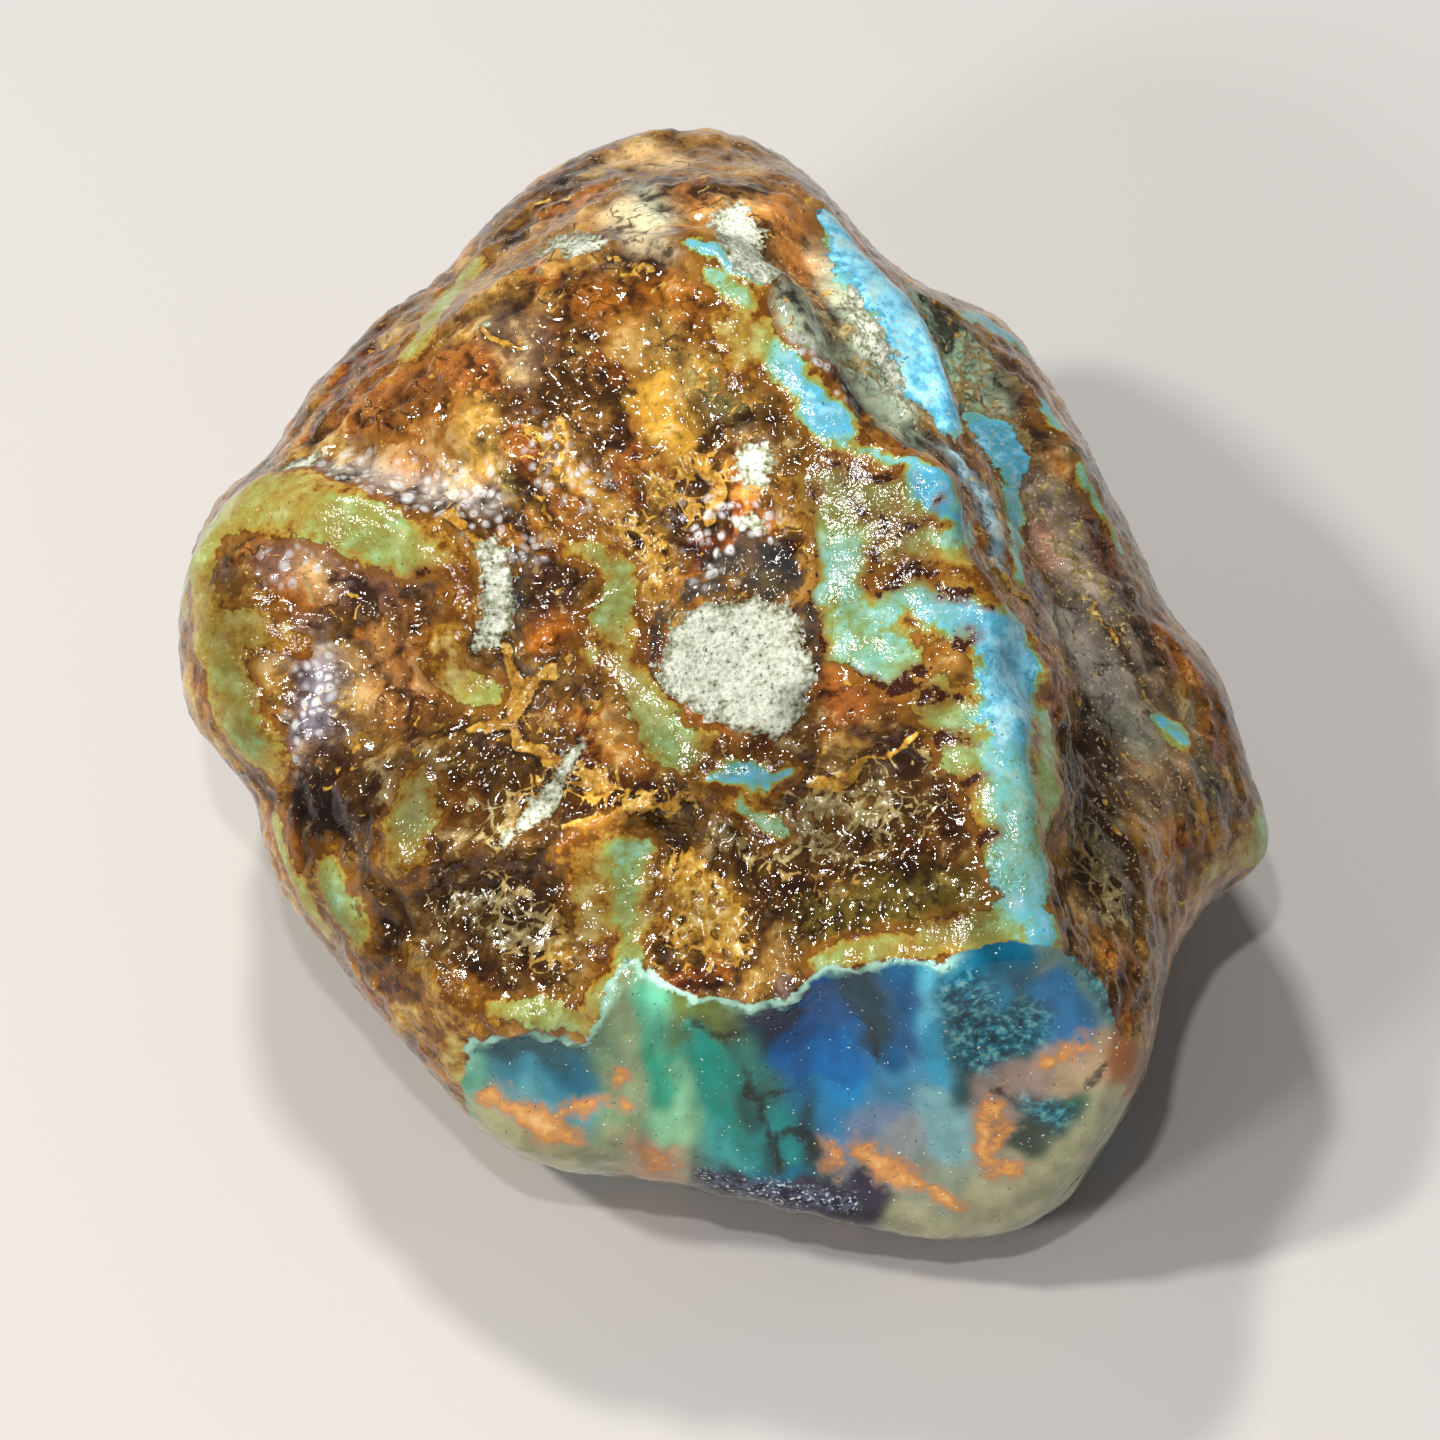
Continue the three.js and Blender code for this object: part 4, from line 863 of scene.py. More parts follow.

# The windows' colours and places, from the left to the right. The dark ones along the top edge hold painted
# shadow from the lip.
WINDOWS = [
    # The left window darkens towards its top edge: painted shadow under the lip.
    ("#2f5560", [(-9.2, -13.5, 0.35), (-8.0, -13.7, 0.4), (-6.4, -13.7, 0.4), (-5.3, -14.0, 0.25)]),
    ("#1c5f7a", [(-6.6, -14.2, 0.3), (-5.6, -14.9, 0.3)]),
    ("#3f7f94", [(-8.8, -14.7, 0.45), (-7.2, -14.9, 0.5), (-6.0, -15.4, 0.4)]),
    ("#5f9aa6", [(-8.3, -15.4, 0.25), (-6.8, -15.9, 0.3), (-5.6, -16.0, 0.2)]),
    ("#5f9a84", [(-9.8, -14.4, 0.2), (-9.4, -15.6, 0.3)]),
    ("#a8a078", [(-9.4, -16.9, 0.5), (-7.1, -18.1, 0.6)]),
    ("#8c8c6c", [(-5.4, -17.4, 0.5), (-4.3, -17.8, 0.5)]),
    ("#b08c70", [(-3.4, -18.3, 0.4), (-2.4, -18.4, 0.4)]),
    ("#6f8a66", [(-4.9, -13.4, 0.25), (-4.6, -15.4, 0.3), (-4.3, -16.8, 0.3)]),
    ("#8f9c78", [(-3.9, -11.2, 0.3), (-3.8, -13.6, 0.3), (-3.5, -16.0, 0.3)]),
    ("#58a488", [(-3.1, -11.6, 0.3), (-2.9, -13.2, 0.35)]),
    ("#2a9a80", [(-2.5, -13.8, 0.4), (-2.2, -15.0, 0.4)]),
    ("#80b490", [(-1.7, -14.0, 0.15), (-1.6, -15.8, 0.2), (-2.2, -16.6, 0.4)]),
    ("#7ea884", [(-1.9, -17.0, 0.5), (-1.2, -17.6, 0.4)]),
    ("#0c8276", [(-1.0, -13.9, 0.45), (-0.3, -15.0, 0.6), (0.0, -16.2, 0.6)]),
    ("#3f9c9c", [(-0.2, -17.6, 0.5), (0.8, -18.2, 0.4)]),
    ("#5a6428", [(-1.4, -12.0, 0.25), (-0.2, -12.4, 0.35), (0.4, -13.0, 0.2)]),
    ("#2f6a64", [(0.9, -13.2, 0.3), (1.0, -14.3, 0.4), (1.6, -15.4, 0.4)]),
    ("#20403e", [(0.9, -15.6, 0.12), (1.5, -16.8, 0.16), (2.2, -18.0, 0.2)]),
    ("#1c8a8c", [(1.3, -17.4, 0.4), (2.2, -16.6, 0.4), (2.9, -17.4, 0.3)]),
    ("#0c5a78", [(1.8, -18.6, 0.3), (2.8, -18.4, 0.25)]),
    ("#2c3a38", [(3.3, -16.8, 0.15), (3.7, -18.0, 0.3)]),
    # Painted shadow under the lip, over the blue.
    ("#101c3a", [(1.6, -12.5, 0.4), (2.4, -12.2, 0.4), (3.2, -11.8, 0.3)]),
    ("#004c8c", [(2.6, -13.4, 0.5), (3.2, -12.8, 0.6), (4.0, -12.2, 0.4)]),
    ("#0064ac", [(3.2, -14.3, 0.6), (4.4, -13.5, 0.8), (5.0, -14.6, 0.6)]),
    ("#1a7cb8", [(3.9, -15.4, 0.4), (5.2, -15.2, 0.5)]),
    ("#1c3c4c", [(5.6, -11.7, 0.35), (6.3, -12.3, 0.4), (6.2, -13.2, 0.15)]),
    ("#005488", [(7.4, -11.4, 0.35), (7.4, -12.6, 0.45), (7.2, -13.8, 0.45)]),
    ("#2a7cb0", [(3.4, -16.4, 0.3), (4.6, -16.6, 0.4)]),
    ("#3c80a8", [(6.2, -15.4, 0.5), (7.2, -15.0, 0.4)]),
    ("#6a7c9c", [(5.4, -16.8, 0.4), (6.8, -16.4, 0.4)]),
    ("#5cb4d4", [(8.4, -11.0, 0.16), (8.4, -12.4, 0.18)]),
    ("#2f8cb4", [(8.5, -13.4, 0.2), (8.5, -14.6, 0.25)]),
    ("#7aa6b0", [(8.7, -15.8, 0.35), (8.8, -17.0, 0.35)]),
    ("#8a8a90", [(6.2, -17.4, 0.3), (7.6, -17.2, 0.4)]),
    ("#8a9080", [(8.6, -18.4, 0.4), (9.2, -19.4, 0.3)]),
    ("#0c5c7c", [(9.4, -10.9, 0.6), (11.3, -10.7, 0.6), (9.8, -12.4, 0.6)]),
    ("#1f5058", [(10.0, -13.4, 0.6), (11.4, -12.6, 0.6), (9.7, -14.8, 0.4)]),
    ("#2a6a9c", [(13.4, -11.4, 0.5), (13.9, -12.8, 0.6)]),
    ("#6c8a86", [(13.6, -9.9, 0.4), (15.0, -11.0, 0.6), (15.8, -12.4, 0.4)]),
    ("#9a8076", [(10.6, -15.3, 0.4), (11.9, -15.0, 0.5), (12.8, -14.3, 0.4)]),
    ("#a88c70", [(13.8, -14.6, 0.4), (14.8, -14.0, 0.4)]),
    ("#3a463a", [(11.8, -16.9, 0.4), (12.8, -16.7, 0.6), (13.5, -17.4, 0.4)]),
    ("#2f5a48", [(14.0, -16.0, 0.3), (14.4, -16.6, 0.2)]),
    ("#a8a282", [(8.0, -21.0, 0.5), (11.0, -20.5, 0.7), (14.2, -18.4, 0.6), (15.4, -15.9, 0.4)]),
    ("#96582e", [(15.9, -14.0, 0.4), (16.2, -15.0, 0.2)]),
    ("#2c2434", [(-0.6, -19.4, 0.4), (3.0, -19.8, 0.4), (5.8, -20.2, 0.3)]),
]

# Orange fire, dark chinks, grains of the crust stuck to it, and its sparkling foot, dotted with painted
# glints.
FIRE = [
    [(-9.3, -15.5, 0.16), (-8.4, -15.9, 0.16), (-7.5, -16.4, 0.28), (-6.9, -16.9, 0.4), (-6.2, -16.9, 0.2)],
    [(-7.0, -17.3, 0.14), (-5.8, -17.1, 0.12)],
    [(-6.6, -16.3, 0.08), (-5.6, -16.1, 0.12), (-4.9, -15.8, 0.08)],
    [(-4.4, -14.9, 0.1)],
    [(-3.9, -16.0, 0.12)],
    [(-3.4, -17.6, 0.1), (-2.6, -18.2, 0.2), (-1.8, -18.3, 0.16)],
    [(4.3, -17.6, 0.14), (4.6, -18.3, 0.24)],
    [(5.5, -17.7, 0.25), (6.4, -18.3, 0.45), (7.2, -18.8, 0.3), (8.1, -19.1, 0.16), (9.2, -19.7, 0.18)],
    [(10.9, -15.8, 0.14), (10.4, -16.6, 0.2), (10.5, -17.6, 0.3), (10.9, -18.4, 0.4), (11.8, -18.6, 0.2)],
    [(11.0, -17.6, 0.2), (11.3, -16.9, 0.16)],
    [(13.2, -14.2, 0.08), (13.8, -13.9, 0.16), (14.6, -13.7, 0.1)],
]
CHINKS = [
    [(0.9, -14.4, 0.06), (1.3, -15.6, 0.12), (1.8, -16.8, 0.1), (2.3, -18.4, 0.14)],
    [(1.3, -15.6, 0.08), (2.6, -15.4, 0.04)],
    [(2.0, -17.2, 0.08), (3.2, -17.0, 0.12), (3.8, -17.8, 0.16)],
    [(6.1, -12.6, 0.05), (6.2, -14.4, 0.06)],
    [(10.9, -15.0, 0.12), (11.6, -16.0, 0.08), (12.4, -16.4, 0.1)],
    [(14.6, -15.2, 0.12), (15.3, -14.2, 0.06)],
    [(-1.2, -12.6, 0.1), (0.1, -13.3, 0.12), (1.0, -13.0, 0.06)],
]
GRAINS = [
    [(9.6, -11.6, 0.9), (10.4, -13.6, 1.1), (12.2, -12.8, 0.8)],
    [(12.2, -15.9, 0.4), (13.4, -16.3, 0.4)],
    [(14.4, -9.6, 0.5), (15.6, -11.6, 0.6)],
]
SPARKLE = [[(-0.8, -18.9, 0.3), (1.6, -19.3, 0.4), (5.2, -19.9, 0.4)]]
FRONT = (8.0, 12.0)  # how far to the front the break starts and is whole, in millimetres
RIND_FOOT = (-15.0, -13.0)  # up, where the green rind along the break's edge starts and is whole
RIND_END = (7.6, 10.4)  # right, where it starts to thin out and is gone
WINDOW_EDGE = 4.5  # how sharply windows meet, per millimetre
EDGE_WOBBLES = ((1.6, 0.3), (0.6, 0.16))  # how the break's marks waver
WINDOW_WOBBLES = ((1.4, 0.35), (0.6, 0.1))  # how its windows waver
WINDOW_DRAW = np.array([1.0, 0.32, 1.0])  # the windows are drawn out up and down

FIRE_HUES = [(0.0, "#a08478"), (0.3, "#b87c50"), (0.6, "#dc9048"), (1.0, "#f2b878")]
GRAVEL = [(0.0, "#061c28"), (0.35, "#10485c"), (0.6, "#207a94"), (1.0, "#6fb0b4")]
CHINK_DARK = "#1c1a18"
BREAK_PIT = "#161012"
BREAK_PAINTED_GLINT = "#dcecec"
GRAVEL_CLUMP = "#93a488"
GRAVEL_CRUMB = "#c0d4cc"
FOOT_DARK = "#1a1728"
FOOT_LIGHT = "#565a74"
FOOT_PAINTED_GLINT = "#d4d8e4"
RIND = "#7fae98"
LIP_CREST_HIGHLIGHT = "#bfe2d8"

eye_far = EYE_DISTANCE / MM
perspective = eye_far / (eye_far - place[:, 2:])
seen = wavering(place, EDGE_WOBBLES)[:, :2] * perspective
streaked = (wavering(place * WINDOW_DRAW, WINDOW_WOBBLES) / WINDOW_DRAW)[:, :2] * perspective


def flat_depth(path, spots):
    """How deep each spot lies inside a path on the seen plane, in millimetres."""
    depth = np.full(len(spots), -99.0)
    for a, b in zip(path, path[1:] if len(path) > 1 else path):
        leg = np.array(b[:2]) - a[:2]
        offset = spots - a[:2]
        share = np.clip(offset @ leg / max(leg @ leg, 1e-9), 0, 1)
        half = a[2] + share * (b[2] - a[2])
        depth = np.maximum(depth, half - np.linalg.norm(offset - share[:, None] * leg, axis=1))
    return depth


def flat_deepest(paths):
    """How deep each point of the skin is, as the eye sees it, inside the deepest of some paths."""
    return np.max([flat_depth(path, seen) for path in paths], axis=0)


def inside_edge(corners, spots):
    """How deep each spot lies inside a closed outline on the seen plane, in millimetres."""
    near = np.full(len(spots), np.inf)
    inside = np.zeros(len(spots), bool)
    for a, b in zip(corners, corners[1:] + corners[:1]):
        near = np.minimum(near, -flat_depth([(*a, 0.0), (*b, 0.0)], spots))
        spans = (a[1] > spots[:, 1]) != (b[1] > spots[:, 1])
        slope = (b[0] - a[0]) / ((b[1] - a[1]) or 1e-9)
        inside ^= spans & (spots[:, 0] < a[0] + (spots[:, 1] - a[1]) * slope)
    return np.where(inside, near, -near)


front = eased(-skin[:, 1], *FRONT) * eased(normals @ outward, -0.1, 0.15)
clear = np.where(front > 0.02, inside_edge(BREAK_EDGE, seen), -REACH)
clear = np.minimum(clear, 3.0 * (front - 0.5))
weights = np.exp(WINDOW_EDGE * np.array([flat_depth(path, streaked) for _, path in WINDOWS]))
tint = weights.T @ np.array([paint(code) for code, _ in WINDOWS]) / weights.sum(0)[:, None]
fire = flat_deepest(FIRE)
chink = flat_deepest(CHINKS)
grains = eased(flat_deepest(GRAINS), -0.6, 0.4)
sparkle = eased(flat_deepest(SPARKLE), -0.3, 0.3)
rind = eased(seen[:, 1], *RIND_FOOT) * eased(seen[:, 0], RIND_END[1], RIND_END[0])


def break_finish(grain, grit, froth, bead, shard):
    """The broken face's colour, roughness and cover."""
    swell, rind = map(field, ("swell", "rind"))
    shade = fade(field("streaks"), 0.3, 0.7, 0.8, 1.08) + swing(swell, 0.35) + swing(field("drift"), 0.4)
    colour = move("SCALE", field("tint", "Color"), shade)
    flame = field("fire") + swing(swell, 0.6) + swing(grain, 0.45)
    amber = ramp(calc("MULTIPLY_ADD", flame, 1.2, 0.4), FIRE_HUES)
    colour = blend(fade(flame, -0.6, 0.1, 0.0, 0.92), colour, amber)
    chink = field("chink") + swing(grain, 0.35)
    colour = coat(colour, fade(chink, -0.2, 0.1, 0.0, 0.8), CHINK_DARK)
    colour = coat(colour, fade(grit, 0.3, 0.25, 0.0, 0.6), BREAK_PIT)
    # Painted glints: tiny white dots over the broken face.
    colour = coat(colour, fade(grit, 0.735, 0.765, 0.0, 0.9), BREAK_PAINTED_GLINT)

    gravel = ramp(swing(grain, 1.2) + 0.45, GRAVEL)
    gravel = coat(gravel, fade(froth, 0.3, 0.5) * fade(grain, 0.5, 0.66, 0.0, 0.4), GRAVEL_CLUMP)
    gravel = coat(gravel, fade(bead, 0.2, 0.6) * fade(shard, 0.5, 0.6), GRAVEL_CRUMB)
    colour = blend(field("grains") * 0.8, colour, gravel)
    foot = blend(fade(grain, 0.4, 0.6), paint(FOOT_DARK), paint(FOOT_LIGHT))
    # Painted glints: pale specks over the dark foot.
    foot = coat(foot, fade(grit, 0.58, 0.66), FOOT_PAINTED_GLINT)
    colour = blend(field("sparkle") * 0.9, colour, foot)

    depth = field("clear") + swing(grain, 0.2)
    green = fade(depth / fade(swell, 0.4, 0.65, 0.12, 0.6), 1.0, 0.0) * rind
    colour = coat(colour, green * 0.75, RIND)
    # A pale crest along the lip: partly the thin edge's own paleness, partly a painted highlight.
    crest_highlight = fade(abs(depth), 0.24, 0.02) * fade(swell, 0.38, 0.62, 0.15, 0.8)
    colour = coat(colour, crest_highlight * rind, LIP_CREST_HIGHLIGHT)
    return colour, fade(depth, 0.0, 0.5, 0.1, 0.04), fade(depth, -0.16, -0.05)


# ------------------------------------------------------------------ the skin's relief
# The crust is lumpy where the host's grains stand up, the bands bulge smoothly with a groove
# along each edge, the clay lies a little sunk, and the broken face is rippled with a raised lip.
# Heights are in millimetres.
SWELLS = 0.35  # to either side, of the host's swells
FINE = 0.06  # to either side, of its fine grain
KNOBS = 1.25  # rounded knobs of the host to a millimetre
KNOB = 0.06  # to either side
NODULE = (-0.06, 0.04)  # at a nodule's edge and inside it
SEAM = 0.12
BAND_SWELLS = 0.15
DOME = 0.05  # of a band
GROOVE = 0.04  # along its edges
CRUMB = 0.35  # of the clay
CLAY_SUNK = 0.3
RIPPLES = 0.25  # to either side, of the broken face
LIP = (0.08, 0.34)  # least and most

calm = 0.45 + 0.55 * eased(normals @ outward, 0.1, 0.6)
marks = {
    "calm": calm, "band": band, "heart": heart, "hue": hue, "clay": clay, "soot": soot, "seam": seam,
    "lace": lace, "streak": streak, "flank": flank, "pale": pale, "pearl_highlight": pearl_highlight, "crack": crack,
    "clear": clear, "rind": rind, "fire": fire, "chink": chink, "grains": grains, "sparkle": sparkle,
}
for name, values in marks.items():
    mesh.attributes.new(name, "FLOAT", "POINT").data.foreach_set("value", values)
mesh.attributes.new("place", "FLOAT_VECTOR", "POINT").data.foreach_set("vector", place.ravel())
for name, colours in {"stain": stain, "tint": tint}.items():
    mesh.attributes.new(name, "FLOAT_COLOR", "POINT").data.foreach_set("color", colours.ravel())


def relief(where, pattern):
    """How far the skin stands out of the fixed lump, in millimetres."""
    fine = cloud(where, 1.8, 2.0, 0.6)
    knob = cells(pattern["flow"], KNOBS)[0]
    bumps = swing(pattern["swell"], SWELLS) + swing(fine, FINE)
    bumps = bumps + fade(knob, 0.65, 0.0, -KNOB, KNOB) + fade(pattern["net"], 0.05, 0.4, *NODULE)
    bumps = bumps * field("calm") + fade(field("seam"), -0.15, 0.1, 0.0, SEAM)

    depth = field("band")
    smooth = swing(cloud(where, 0.6, 1.0), BAND_SWELLS) + fade(depth, 0.0, 1.0, 0.0, DOME)
    smooth = smooth - fade(abs(depth), 0.3, 0.0, 0.0, GROOVE)
    height = lerp(fade(depth, -0.3, 0.2), bumps, smooth)

    crumb = calc("MULTIPLY_ADD", fine, CRUMB, -CLAY_SUNK)
    height = lerp(fade(field("clay"), -0.2, 0.25), height, crumb)

    depth = field("clear")
    ripples = cloud(move("MULTIPLY", where, (1.6, 0.35, 0.8)), 0.5, 1.0)
    height = lerp(fade(depth, -0.5, 0.3), height, swing(ripples, RIPPLES))
    lip = fade(abs(depth + 0.15), 0.75, 0.0) * fade(fine, 0.35, 0.65, *LIP)
    return calc("MULTIPLY_ADD", lip, field("rind"), height)


def keep(geometry, name, value, kind="FLOAT"):
    """Keeps a value on the skin under a name."""
    inputs = {"Geometry": geometry, "Name": name, "Value": value}
    return wire("GeometryNodeStoreNamedAttribute", inputs, data_type=kind)


tree = bpy.data.node_groups.new("relief", "GeometryNodeTree")
tree.interface.new_socket("Geometry", in_out="INPUT", socket_type="NodeSocketGeometry")
tree.interface.new_socket("Geometry", in_out="OUTPUT", socket_type="NodeSocketGeometry")
where = field("place", "Vector")
pattern = host_pattern(where)
carved_skin = keep(wire("NodeGroupInput", {}), "flow", pattern["flow"], "FLOAT_VECTOR")
for name, value in pattern.items():
    if name != "flow":
        carved_skin = keep(carved_skin, name, value)
push = move("SCALE", wire("GeometryNodeInputNormal", {}), relief(where, pattern) * MM)
carved_skin = wire("GeometryNodeSetPosition", {"Geometry": carved_skin, "Offset": push})
node("NodeGroupOutput", {0: carved_skin})

stone = bpy.data.objects.new("rough_opal", mesh)
bpy.context.scene.collection.objects.link(stone)
stone.modifiers.new("relief", "NODES").node_group = tree
carved = bpy.data.meshes.new_from_object(stone.evaluated_get(bpy.context.evaluated_depsgraph_get()))
stone.modifiers.clear()
stone.data = carved
carved.name = "rough_opal"
for vertex in carved.vertices:
    vertex.co.z = max(vertex.co.z, 0.0)
for face in carved.polygons:
    face.use_smooth = True

# ------------------------------------------------------------------ the stone's finish
# One wet, glassy skin over it all: the host, then soot, pearls that are partly painted highlights,
# the bands, the clay and the clear face on it. Painted light and shade lies over it: each entry makes
# its places lighter or darker, to stand in for how the light falls there, and says how much.
PAINTED_SHADING = {
    "milky valley": (1.35, [(-16.0, 9.4, 0.8), (-12.6, 8.8, 0.8), (-9.8, 8.4, 1.5), (-9.4, 6.6, 1.0)]),
    "left edge of the upper crust": (0.7, [(-12.4, 12.2, 0.9), (-11.4, 10.8, 0.9)]),
    "crust of the upper left": (1.5, [
        (-10.4, 14.6, 0.8), (-9.4, 12.8, 0.9), (-7.4, 11.8, 1.4), (-4.8, 11.0, 1.2),
    ]),
    "upper left, lower": (1.4, [(-8.8, 9.2, 0.9), (-6.0, 9.4, 0.9)]),
    "far lobe": (1.35, [(-5.0, 18.4, 0.8), (-2.6, 19.6, 0.9), (0.0, 19.8, 0.9)]),
    "far lobe, right": (1.7, [(1.4, 19.8, 1.0), (2.6, 17.8, 1.3), (4.0, 16.4, 1.0), (5.4, 15.2, 0.8)]),
    "below the far lobe": (0.78, [(-4.6, 15.4, 0.6), (-3.0, 16.2, 0.8), (-3.6, 14.2, 0.6)]),
    "hump": (1.6, [(8.4, 14.6, 0.8), (9.2, 11.8, 1.4), (10.2, 9.4, 1.2), (10.4, 6.6, 1.2)]),
    "upper flank": (1.45, [
        (12.4, 8.2, 0.9), (12.8, 6.2, 0.8), (14.4, 5.4, 0.6), (15.4, 3.4, 0.8), (16.6, 2.0, 0.6),
    ]),
    "flank beside the ridge": (1.7, [(12.7, 2.2, 0.5), (13.3, 0.8, 0.6), (13.3, -0.4, 0.5)]),
    "slate above the limbs": (1.5, [(9.0, 10.8, 0.7), (10.2, 9.0, 0.8)]),
    "hump's top": (1.25, [(9.6, 13.8, 0.9), (10.8, 12.2, 0.9)]),
    "teal column": (0.75, [(4.8, 6.6, 0.7), (4.9, 4.4, 0.8)]),
    "lower ridge": (0.75, [(11.6, -4.4, 0.8), (12.2, -7.4, 0.8)]),
    "foot of the flank, dark": (0.5, [(14.0, -3.0, 1.0), (15.0, -6.2, 1.0)]),
    "outer lobe": (1.4, [(18.4, -1.4, 0.8), (19.4, -3.4, 0.8)]),
    "over the eye": (1.9, [(-0.6, 6.6, 1.3), (0.8, 6.8, 1.2), (0.8, 9.6, 1.2)]),
    "head of the right band": (0.5, [(4.2, 8.8, 0.9), (6.8, 8.2, 0.9), (7.2, 6.0, 0.8)]),
    "rim of the shoulder": (0.55, [
        (-20.2, 5.0, 0.6), (-19.8, 3.2, 1.0), (-19.4, 1.2, 0.9), (-19.0, -0.8, 0.6),
    ]),
    "shoulder hollow": (1.7, [(-16.6, 1.2, 0.8), (-16.4, -1.0, 0.8)]),
    "inner shoulder": (1.35, [(-15.2, 4.2, 0.6), (-14.2, 3.0, 0.7), (-13.0, 0.6, 0.8)]),
    "pit below the shoulder": (0.6, [
        (-16.6, -3.8, 0.7), (-15.4, -5.0, 0.7), (-13.4, -2.6, 0.8), (-12.0, -2.6, 1.0), (-12.4, -4.0, 0.8),
    ]),
    "boss below it": (0.65, [(-11.8, -2.6, 0.6), (-12.6, -4.8, 0.7), (-13.0, -6.0, 0.5)]),
    "lower left edge": (0.6, [
        (-17.0, -5.0, 0.5), (-16.0, -7.4, 0.6), (-14.4, -9.8, 0.6), (-11.6, -9.8, 0.7),
    ]),
    "left of the dash": (2.3, [(-9.4, -6.2, 0.7), (-7.6, -5.6, 1.1), (-5.4, -4.8, 1.0)]),
    "middle band": (0.68, [
        (-4.7, 6.0, 0.5), (-4.0, 4.8, 0.6), (-5.0, 2.8, 0.9), (-4.0, 0.4, 0.8), (-2.6, -1.6, 0.7),
    ]),
    "under the eye": (0.42, [(-1.2, -2.4, 0.6), (0.4, -2.2, 0.5), (2.6, -1.6, 0.7), (3.4, 0.6, 0.4)]),
    "below the slivers": (0.6, [(0.4, -4.8, 0.9), (3.0, -4.6, 1.0), (5.4, -5.4, 0.8)]),
    "teeth at the ridge": (1.8, [(6.6, -1.4, 0.8), (7.4, -2.4, 0.8)]),
    "crust over the break, left": (0.62, [
        (-9.8, -8.8, 0.8), (-6.6, -8.8, 1.0), (-2.2, -7.6, 0.8), (-0.6, -8.6, 0.9),
    ]),
    "crust over the break, right": (0.65, [
        (2.8, -8.8, 0.9), (4.8, -7.2, 0.8), (7.4, -7.0, 0.7), (8.6, -8.8, 0.5),
    ]),
    "low ridge": (0.42, [(9.8, -6.8, 0.6), (10.2, -8.4, 0.8)]),
    "foot of the flank": (1.5, [(14.4, -8.8, 0.6), (15.2, -9.8, 0.5)]),
    "under the lip": (2.0, [(-2.4, -11.8, 0.5), (-1.0, -12.2, 0.5)]),
    "gravel of the break": (1.8, [(9.4, -10.8, 0.5), (10.6, -11.6, 0.6)]),
    "foot of the break": (1.4, [(1.2, -18.6, 0.4), (5.2, -19.3, 0.6), (7.6, -19.6, 0.5)]),
    "right edge of the break": (1.4, [(15.4, -10.8, 0.5), (15.9, -13.0, 0.6), (13.4, -17.0, 0.6)]),
    "milk of the break": (1.3, [(-4.4, -16.4, 0.6), (-2.6, -15.8, 0.7), (-1.6, -17.4, 0.6)]),
}
GREEN_CAST = (0.98, 1.06, 0.97)  # the whole stone leans to green a little
GRAIN_SCALE = 2.3  # swells of the grain to a millimetre
GRIT_SCALE = 6.0  # and of the grit
BEADS = 2.1  # beads of the froth to a millimetre
LACE_HOLES = 1.35  # holes of the lace to a millimetre
HALO = "#87541b"  # the amber rim that the host has around a band
PEARL_HIGHLIGHT = "#ccc6cc"
OPAL_IOR = 1.38
# How far grit and beads stand out, in millimetres.
GRIT_HEIGHT = {"host": 0.014, "band": 0.024, "clay": 0.13, "break": 0.008, "lip": 0.035}
BEAD_HEIGHT = {"host": 0.08, "band": 0.012, "clay": 0.0, "break": 0.03, "lip": 0.11}

# Painted light and shade, one factor for each point of the skin, times the green cast.
painted_shading_and_cast = np.zeros(len(skin))
for strength, path in PAINTED_SHADING.values():
    painted_shading_and_cast += math.log(strength) * eased(depth_in(path)[0], -1.0, 0.6)
painted_shading_and_cast = np.exp(painted_shading_and_cast)[:, None] * np.array(GREEN_CAST)
carved.attributes.new("painted_shading_and_cast", "FLOAT_VECTOR", "POINT").data.foreach_set("vector", painted_shading_and_cast.ravel())

finish = bpy.data.materials.new("opal_in_host")
finish.use_nodes = True
tree = finish.node_tree
tree.nodes.clear()
spot, flow = field("place", "Vector"), field("flow", "Vector")
grain = cloud(spot, GRAIN_SCALE, 2.0, 0.66)
grit = cloud(spot, GRIT_SCALE, 1.0, 0.6)
weave = move("ADD", spot, move("SCALE", move("SUBTRACT", flow, spot), 0.45))
strand = cells(weave, LACE_HOLES, "DISTANCE_TO_EDGE")[0] / LACE_HOLES
froth, bead_colour = cells(weave, BEADS)
shard = wire("ShaderNodeSeparateColor", {"Color": bead_colour})
bead = fade(froth / fade(shard, 0.4, 1.0, 0.03, 0.36), 1.0, 0.1)
host_colour, host_rough = host_finish(grain, grit, froth, strand, shard)
band_colour, band_rough, band_cover = band_finish(grain, grit)
clay_colour, clay_cover, soot_cover = clay_finish(grain, grit, froth)
break_colour, break_rough, break_cover = break_finish(grain, grit, froth, bead, shard)

halo = fade(field("band") + swing(grain, 0.4), -0.55, -0.1) * fade(field("swell"), 0.3, 0.6, 0.35, 0.75)
halo = halo * fade(field("flank"), 0.0, 1.0, 1.0, 0.2)
# Pearls: pale dots of milky opal that are partly painted highlights on the wet beads.
milky = fade(froth - swing(shard, 0.14), 0.5, 0.08) * field("pearl_highlight")
colour = coat(host_colour, halo, HALO)
colour = coat(colour, soot_cover * 0.85, SOOT_GREY)
colour = coat(colour, milky * 0.72, PEARL_HIGHLIGHT)
colour = blend(band_cover, colour, band_colour)
colour = blend(clay_cover, colour, clay_colour)
colour = blend(break_cover, colour, break_colour)
# The painted light and shade, and the green cast, multiply the colour.
colour = move("MULTIPLY", colour, field("painted_shading_and_cast", "Vector"))

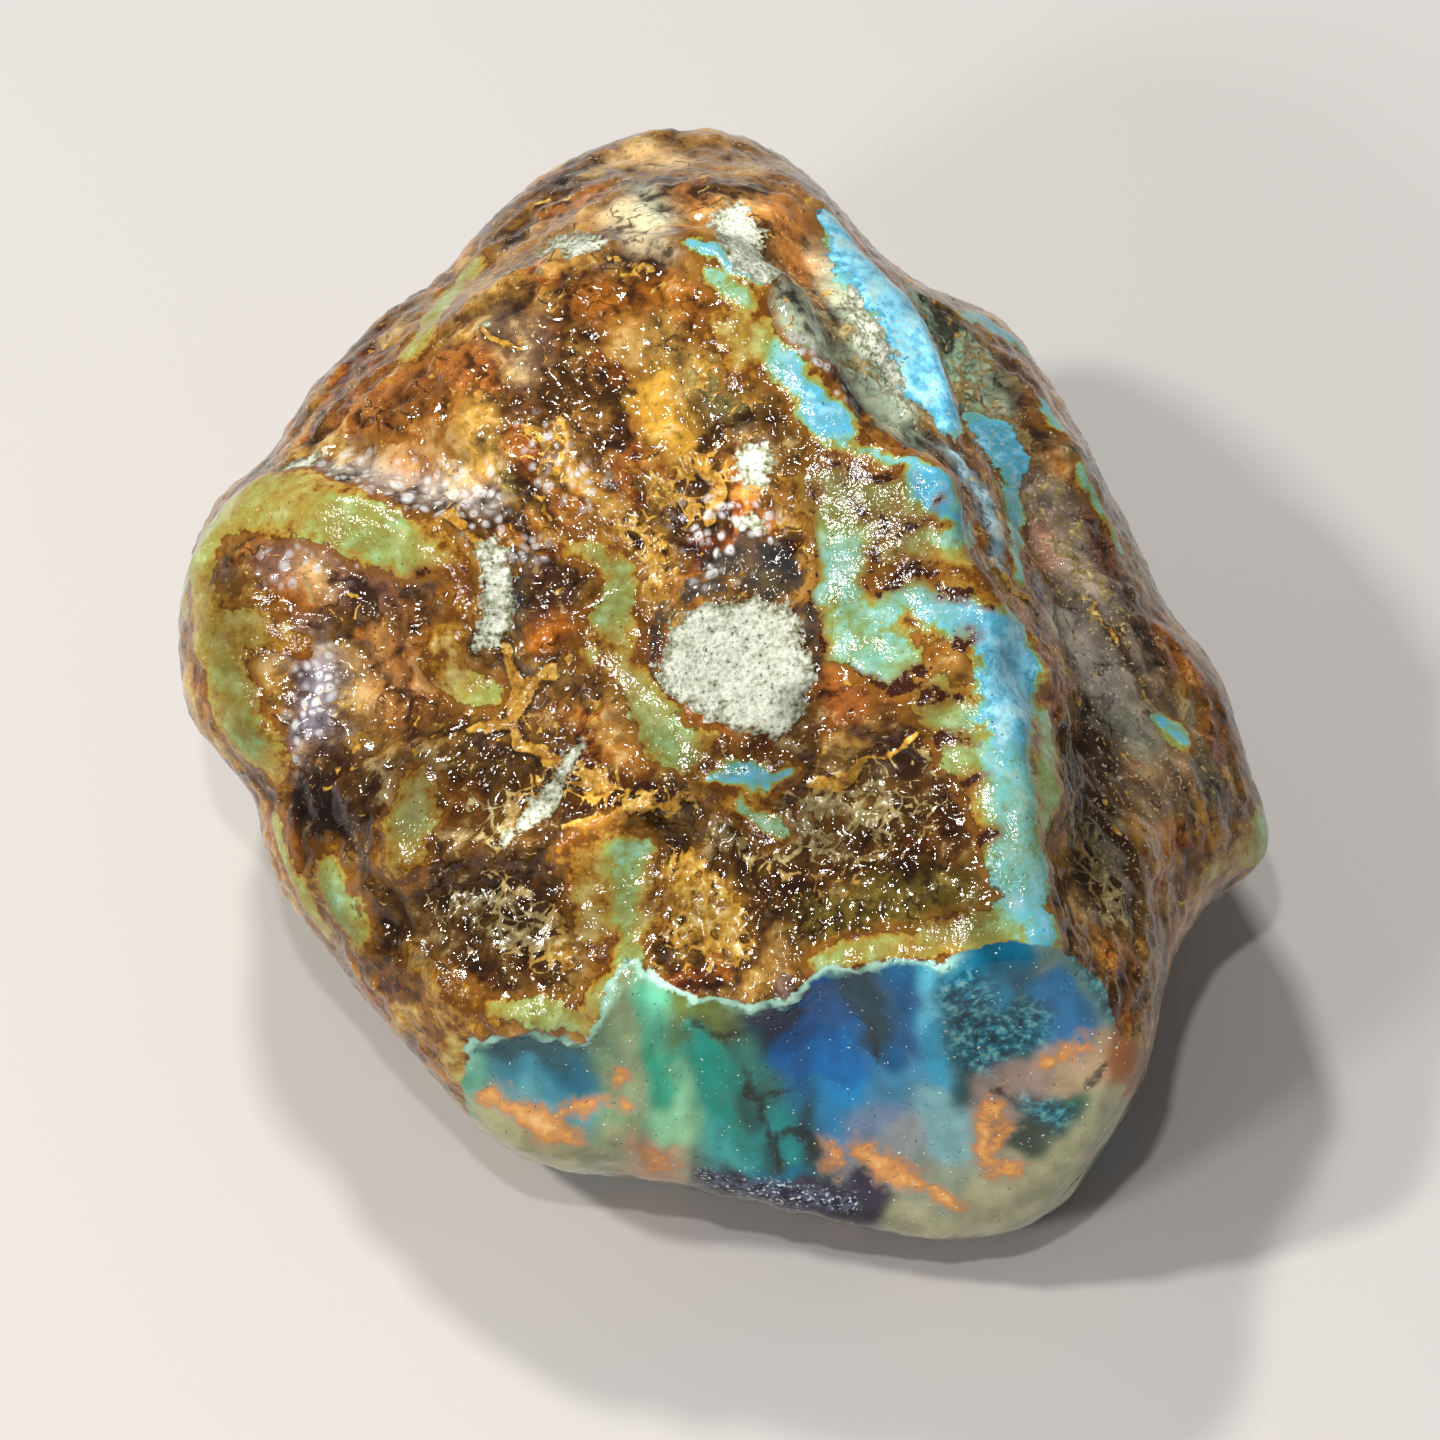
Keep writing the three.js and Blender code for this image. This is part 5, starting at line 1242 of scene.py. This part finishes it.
on_band = fade(field("band"), -0.1, 0.1)
on_clay = fade(field("clay"), -0.1, 0.1)
on_break = fade(field("clear"), -0.55, -0.2)
on_lip = fade(abs(field("clear") + 0.1), 0.45, 0.15) * field("rind")
crumbled = most(field("grains"), field("sparkle"), on_lip)
rough = lerp(band_cover, host_rough, band_rough)
rough = lerp(clay_cover, rough, CLAY_ROUGHNESS)
rough = lerp(on_break, rough, break_rough)


def on_crust(height):
    """How far grit or beads stand out of the host, the bands and the clay."""
    return lerp(on_clay, lerp(on_band, height["host"], height["band"]), height["clay"])


grit_on_break = lerp(on_lip, GRIT_HEIGHT["break"], GRIT_HEIGHT["lip"])
beads_on_break = fade(crumbled, 0.0, 1.0, BEAD_HEIGHT["break"], BEAD_HEIGHT["lip"])
height = grit * lerp(on_break, on_crust(GRIT_HEIGHT), grit_on_break)
height = height + bead * lerp(on_break, on_crust(BEAD_HEIGHT), beads_on_break)
bump = wire("ShaderNodeBump", {"Height": height, "Distance": MM, "Strength": 1.0})
body = wire("ShaderNodeBsdfPrincipled", {
    "Base Color": colour, "Roughness": rough, "Normal": bump, "IOR": OPAL_IOR,
})
node("ShaderNodeOutputMaterial", {"Surface": body})
carved.materials.clear()
carved.materials.append(finish)

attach(stone, "root")
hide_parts("opal_stone")

# ------------------------------------------------------------------ the pale floor and the lights
# A plain matt floor under four small lamps: one from the left, one from behind, the smallest just
# above the eye, for the points of light on the wet beads, and one from the front, left. A faint,
# even sky fills the shade.
FLOOR_REACH = 1.5  # metres
FLOOR_PAPER = "#c9c6c1"
FLOOR_ROUGHNESS = 0.9
LAMPS = {  # place and size in metres, watts and colour
    "soft key": ((-0.23, -0.09, 0.34), 0.03, 0.85, (1.0, 0.98, 0.95)),
    "soft back": ((-0.08, 0.16, 0.38), 0.04, 0.85, (1.0, 0.98, 0.95)),
    "spark": ((-0.02, -0.19, 0.38), 0.012, 0.42, (1.0, 0.97, 0.98)),
    "front left": ((-0.21, -0.27, 0.26), 0.05, 0.5, (1.0, 0.97, 0.98)),
}
SKY = (0.9, 0.92, 1.0, 1.0)
SKY_STRENGTH = 0.2

corners = [(-1, -1), (1, -1), (1, 1), (-1, 1)]
floor_mesh = bpy.data.meshes.new("floor")
floor_mesh.from_pydata([(FLOOR_REACH * x, FLOOR_REACH * y, 0) for x, y in corners], [], [(0, 1, 2, 3)])
floor = bpy.data.objects.new("floor", floor_mesh)
bpy.context.scene.collection.objects.link(floor)
paper = bpy.data.materials.new("pale_floor")
paper.use_nodes = True
matt = paper.node_tree.nodes["Principled BSDF"]
matt.inputs["Base Color"].default_value = paint(FLOOR_PAPER)
matt.inputs["Roughness"].default_value = FLOOR_ROUGHNESS
floor_mesh.materials.append(paper)

for name, (stand, size, power, tone) in LAMPS.items():
    light = bpy.data.lights.new(name, "AREA")
    light.size = size
    light.energy = power
    light.color = tone
    holder = bpy.data.objects.new(name, light)
    holder.location = Vector(stand)
    holder.rotation_mode = "QUATERNION"
    holder.rotation_quaternion = (Vector(middle * MM) - Vector(stand)).to_track_quat("-Z", "Y")
    bpy.context.scene.collection.objects.link(holder)

sky = bpy.data.worlds.new("studio")
sky.use_nodes = True
sky.node_tree.nodes["Background"].inputs["Color"].default_value = SKY
sky.node_tree.nodes["Background"].inputs["Strength"].default_value = SKY_STRENGTH
bpy.context.scene.world = sky
bpy.context.scene.view_settings.view_transform = "Standard"
